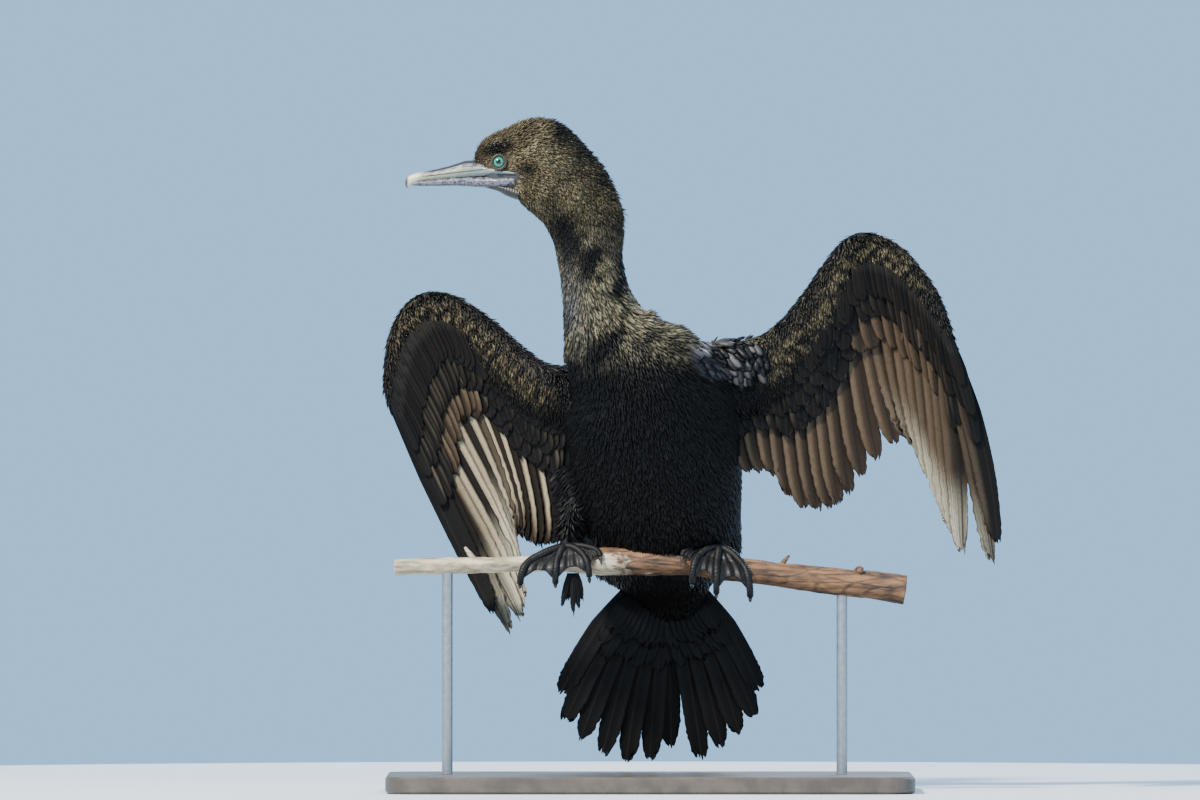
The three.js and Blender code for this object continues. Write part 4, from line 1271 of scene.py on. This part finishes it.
eyes, lids = {}, {}
arc = np.linspace(0.02, 0.96, 20) * math.pi
eye_profile = [
    (EYE_RADIUS * math.sin(a), EYE_RADIUS * math.cos(a) + 0.35 * math.exp(-(a / 0.5) ** 2)) for a in arc
]
for side, way in (("left", -1), ("right", 1)):
    centre = np.array([EYE[0], HEAD_Y + way * EYE_INSET, EYE[1]])
    front = np.array([0, way, 0])
    eyes[side] = closed_object("eyeball_" + side, turned(eye_profile, centre, front), EYE_PAINT)
    lids[side] = closed_object("lid_ring_" + side, lid_form(centre, front), LID)


# Webbed feet draped over the branch

def toe_spot(foot, index, t):
    t = np.asarray(t, float)
    x = mix(foot["ankle"][0], foot["toes"][index], np.sin(t * math.pi / 2) ** 0.8)
    turn = np.radians(mix(4, foot["hook"][index], t))
    height, radius = perch_at(x)
    away = radius + TOE_RADIUS + mix(2.2, 0.2, np.minimum(1, t * 2.5))
    away = away + foot["drape"][index] * smoothstep(t, 0.4, 1)
    return np.stack([x, -away * np.sin(turn), height + away * np.cos(turn)], axis=-1)


def scuted(s, turn):
    """Rings of small hard plates with a knuckle bulge at each joint."""
    joints = 0.1 * (np.exp(-((s - 0.42) / 0.05) ** 2) + np.exp(-((s - 0.7) / 0.05) ** 2))
    return 1 + 0.045 * np.sin(s * 2 * math.pi * 26) + joints + 0 * turn


def web(foot, index):
    """The skin between two neighbouring toes, creased along its length."""
    rows, columns = 30, 17
    t = np.linspace(0.05, 0.95, rows)[:, None]
    share = np.linspace(0, 1, columns)[None, :]
    reach = t * (1 - 0.22 * np.sin(math.pi * share) * t)
    near, far = toe_spot(foot, index, reach), toe_spot(foot, index + 1, reach)
    middle = near + (far - near) * share[..., None]
    height, _ = perch_at(middle[..., 0])
    out = unit(np.stack([np.zeros_like(height), middle[..., 1], middle[..., 2] - height], axis=-1))
    folds = np.sin(share * 2 * math.pi * 3.2 + t * 3 + index) * 0.8 + np.sin(share * 23 - t * 5) * 0.3
    sag = folds * np.sin(math.pi * share) * smoothstep(t, 0.1, 0.5) - 0.5 * np.sin(math.pi * share)
    middle = middle + out * sag[..., None]
    shell = [middle + out * WEB_THICKNESS / 2, middle - out * WEB_THICKNESS / 2]
    return np.vstack([side.reshape(-1, 3) for side in shell]), plate_faces(rows, columns)


SHANK = [(0, 0, 4.5, 4.2, 3.6), (2, 5, 11, 3.4, 3), (6, 17, 24, 3.6, 3.4), (9, 27, 36, 5, 5)]
CLAW_NAMES = ("outer", "middle", "inner", "hind")
CROSSWAYS = (1, 0.1, 0)
CLAW_ROWS = ((2.1, -0.2, 1.55), (3.6, 0.1, 1.3), (5.6, 0.9, 0.85), (7.4, 2.2, 0.3))
feet, shanks, claws = {}, {}, {}
for side, foot in FEET.items():
    parts = [web(foot, index) for index in range(3)]
    for index, name in enumerate(CLAW_NAMES):
        t = np.linspace(0, 1, 14)
        girth = TOE_THIN[index] * TOE_RADIUS * mix(1.12, 0.86, t)
        stations = np.column_stack([toe_spot(foot, index, t), girth, girth])
        parts.append(loft_arrays(stations, CROSSWAYS, 110, 18, (1.5, 1.6), 0, scuted))
        end, before = toe_spot(foot, index, 1.0), toe_spot(foot, index, 0.9)
        ahead = unit(end - before)
        inward = unit(np.array([0, -end[1], perch_at(end[0])[0] - end[2]]))
        rows = [[*(end + ahead * reach + inward * dip), thick, thick] for reach, dip, thick in CLAW_ROWS]
        key = side + "_" + name
        claws["claw_" + key] = loft_object("claw_form_" + key, CLAW, rows, CROSSWAYS, 26, 14, (1.6, 0.4))
    feet[side] = closed_object("webbed_foot_" + side, combine(parts), FOOT)
    stations = leg_stations(foot, SHANK)
    shanks[side] = loft_object("shank_" + side, FOOT, stations, (1, 0, 0), 60, 20, (2.5, 3), 0, scuted)


WISP_TIPS = ((-65, -8, 137), (-61, -6, 141), (-57, -9, 132), (-53, -7, 136), (-50, -5, 142))
WISP_SEED = 900


def foot_plumes():
    """The wisp of dark feathers that hangs below the right foot."""
    plumes = Plumes("foot_plumes")
    for i, tip in enumerate(WISP_TIPS):
        root = np.array([-57 + (i - 2) * 1.6, -8, 161])
        add_feather(
            plumes, i, len(WISP_TIPS), 0.3, 0.0, root=root, tip=np.array(tip, float),
            back=np.array([0, 1, 0]), hand=1, lead=2.2, trail=2.2, rows=22, half=4, hold=0.55,
            tip_width=0.2, ragged=0.9, seed=WISP_SEED + i, thick=COVERT_THICK,
        )
    return plumes.build(TAIL_VANES)


WISP = foot_plumes()


# The cut branch

def rough_branch(rows, rings, sides, cap, seed, depth):
    """A limb whose surface is worn and fibrous, with shallow dents and raised strips."""
    rows = np.asarray(rows, float)
    points, faces = loft_arrays(rows, (0, 1, 0), rings, sides, (cap, cap))
    s = np.linspace(0, 1, rings)
    centre = np.repeat(spline(rows[:, :3], s), sides, axis=0)
    body = points[:rings * sides]
    out = unit(body - centre)
    stretched = body * np.array([0.25, 1, 1])
    fibre = waves(stretched, 3.2, seed, 9) * 0.35 + waves(stretched, 1.6, seed + 1, 9) * 0.2
    dents = waves(body * np.array([0.6, 1, 1]), 17, seed + 2) * 0.6
    body = body + out * ((fibre + dents) * depth)[:, None]
    return np.vstack([body, points[rings * sides:]]), faces


trunk = [[x, 0, z, r, r] for x, z, r in PERCH]
snag = [[-128, 0, 166, 3, 3], [-132, 1, 173, 2.6, 2.6], [-137, 2, 180, 1.2, 1.2]]
stub = [[96, 0, 162, 2.4, 2.4], [99, -1, 169, 1.8, 1.8], [103, -2, 174, 1, 1]]
knot = [[150, 0, 156, 4.6, 4.6], [154, -5, 162, 3.6, 3.6], [156, -7, 165, 2.4, 2.4]]
perch = closed_object("branch", combine([
    rough_branch(trunk, 420, 60, 0.6, 61, 0.55),
    rough_branch(snag, 60, 20, 0.3, 71, 0.35),
    rough_branch(stub, 50, 20, 0.3, 81, 0.3),
    rough_branch(knot, 50, 28, 0.3, 91, 0.4),
]), WOOD)


# What replaces what

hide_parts("head", "neck", "torso")
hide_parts("wing_left")
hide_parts("wing_right")
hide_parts("tail")
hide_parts("bill_upper")
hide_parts("bill_lower")
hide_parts("gular_pouch")
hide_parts("perch")
made = [skin, LEFT_FLIGHT, RIGHT_FLIGHT, LEFT_TIERS, RIGHT_TIERS, TAIL]
made += [bill_upper, bill_lower, throat, perch] + coat + [WISP]
for name, claw in claws.items():
    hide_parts(name)
    made.append(claw)
for side in ("left", "right"):
    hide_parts("eye_" + side)
    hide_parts("lid_" + side)
    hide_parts("foot_" + side)
    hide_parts("leg_" + side)
    made += [eyes[side], lids[side], feet[side], shanks[side]]
for thing in made:
    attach(thing, "root")

CAD_PAINT = {"stand_base": BASE_PAINT, "stand_rod": ROD}
for name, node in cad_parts.items():
    for start, paint in CAD_PAINT.items():
        if name.startswith(start):
            node.data.materials.clear()
            node.data.materials.append(paint)


# Floor, light and camera

FLOOR_RADIUS, FLOOR_LEVEL, FLOOR_LIP = 1100, -0.6, 6
LIT_PLACE = (0, 0, 0.3)
SKY_COLOUR, SKY_STRENGTH = (144, 190, 232), 1.45


def floor_disc(rings=10, sides=96):
    """A wide pale disc just under the base, its outer edge turned down."""
    turn = np.linspace(0, 2 * math.pi, sides, endpoint=False)
    points = [[0, 0, FLOOR_LEVEL]]
    faces = []
    for i in range(1, rings + 1):
        r = FLOOR_RADIUS * i / rings
        level = FLOOR_LEVEL - (FLOOR_LIP if i == rings else 0)
        points += [[r * math.cos(a), r * math.sin(a), level] for a in turn]
    for j in range(sides):
        k = (j + 1) % sides
        faces.append((0, 1 + j, 1 + k))
        for i in range(rings - 1):
            a, b = 1 + i * sides, 1 + (i + 1) * sides
            faces.append((a + j, b + j, b + k, a + k))
    thing = mesh_object("floor", points, faces)
    paint = plain_material("floor_paint", rgb(206, 212, 218), rgb(212, 218, 224), 3, 0.7, 0, 0)
    thing.data.materials.append(paint)


def area_light(name, place, size, power, colour):
    lamp = bpy.data.lights.new(name, "AREA")
    lamp.shape = "DISK"
    lamp.size = size
    lamp.energy = power
    lamp.color = colour
    thing = placed(name, lamp)
    thing.location = place
    way = np.array(LIT_PLACE) - np.array(place)
    thing.rotation_euler = mathutils.Vector(way).to_track_quat("-Z", "Y").to_euler()


floor_disc()
area_light("key", (-2.2, -2.9, 3.6), 0.6, 700, (1.0, 0.95, 0.87))
area_light("fill", (3.0, -3.0, 1.2), 2.4, 40, (0.86, 0.92, 1.0))
area_light("rim", (1.2, 3.4, 2.4), 1.6, 90, (0.92, 0.95, 1.0))
world = bpy.data.worlds.new("sky")
bpy.context.scene.world = world
world.use_nodes = True
sky = world.node_tree.nodes["Background"].inputs
sky["Color"].default_value = (*rgb(*SKY_COLOUR), 1)
sky["Strength"].default_value = SKY_STRENGTH

CAMERA_AWAY, FRAME_WIDE, SENSOR = 12.0, 0.888, 36.0
camera = bpy.data.cameras.new("camera")
camera.sensor_width = SENSOR
camera.lens = SENSOR * CAMERA_AWAY / FRAME_WIDE
camera.clip_end = 60
viewer = placed("camera", camera)
viewer.location = (-0.037, -CAMERA_AWAY, 0.289)
viewer.rotation_euler = (math.pi / 2, 0, 0)
bpy.context.scene.camera = viewer
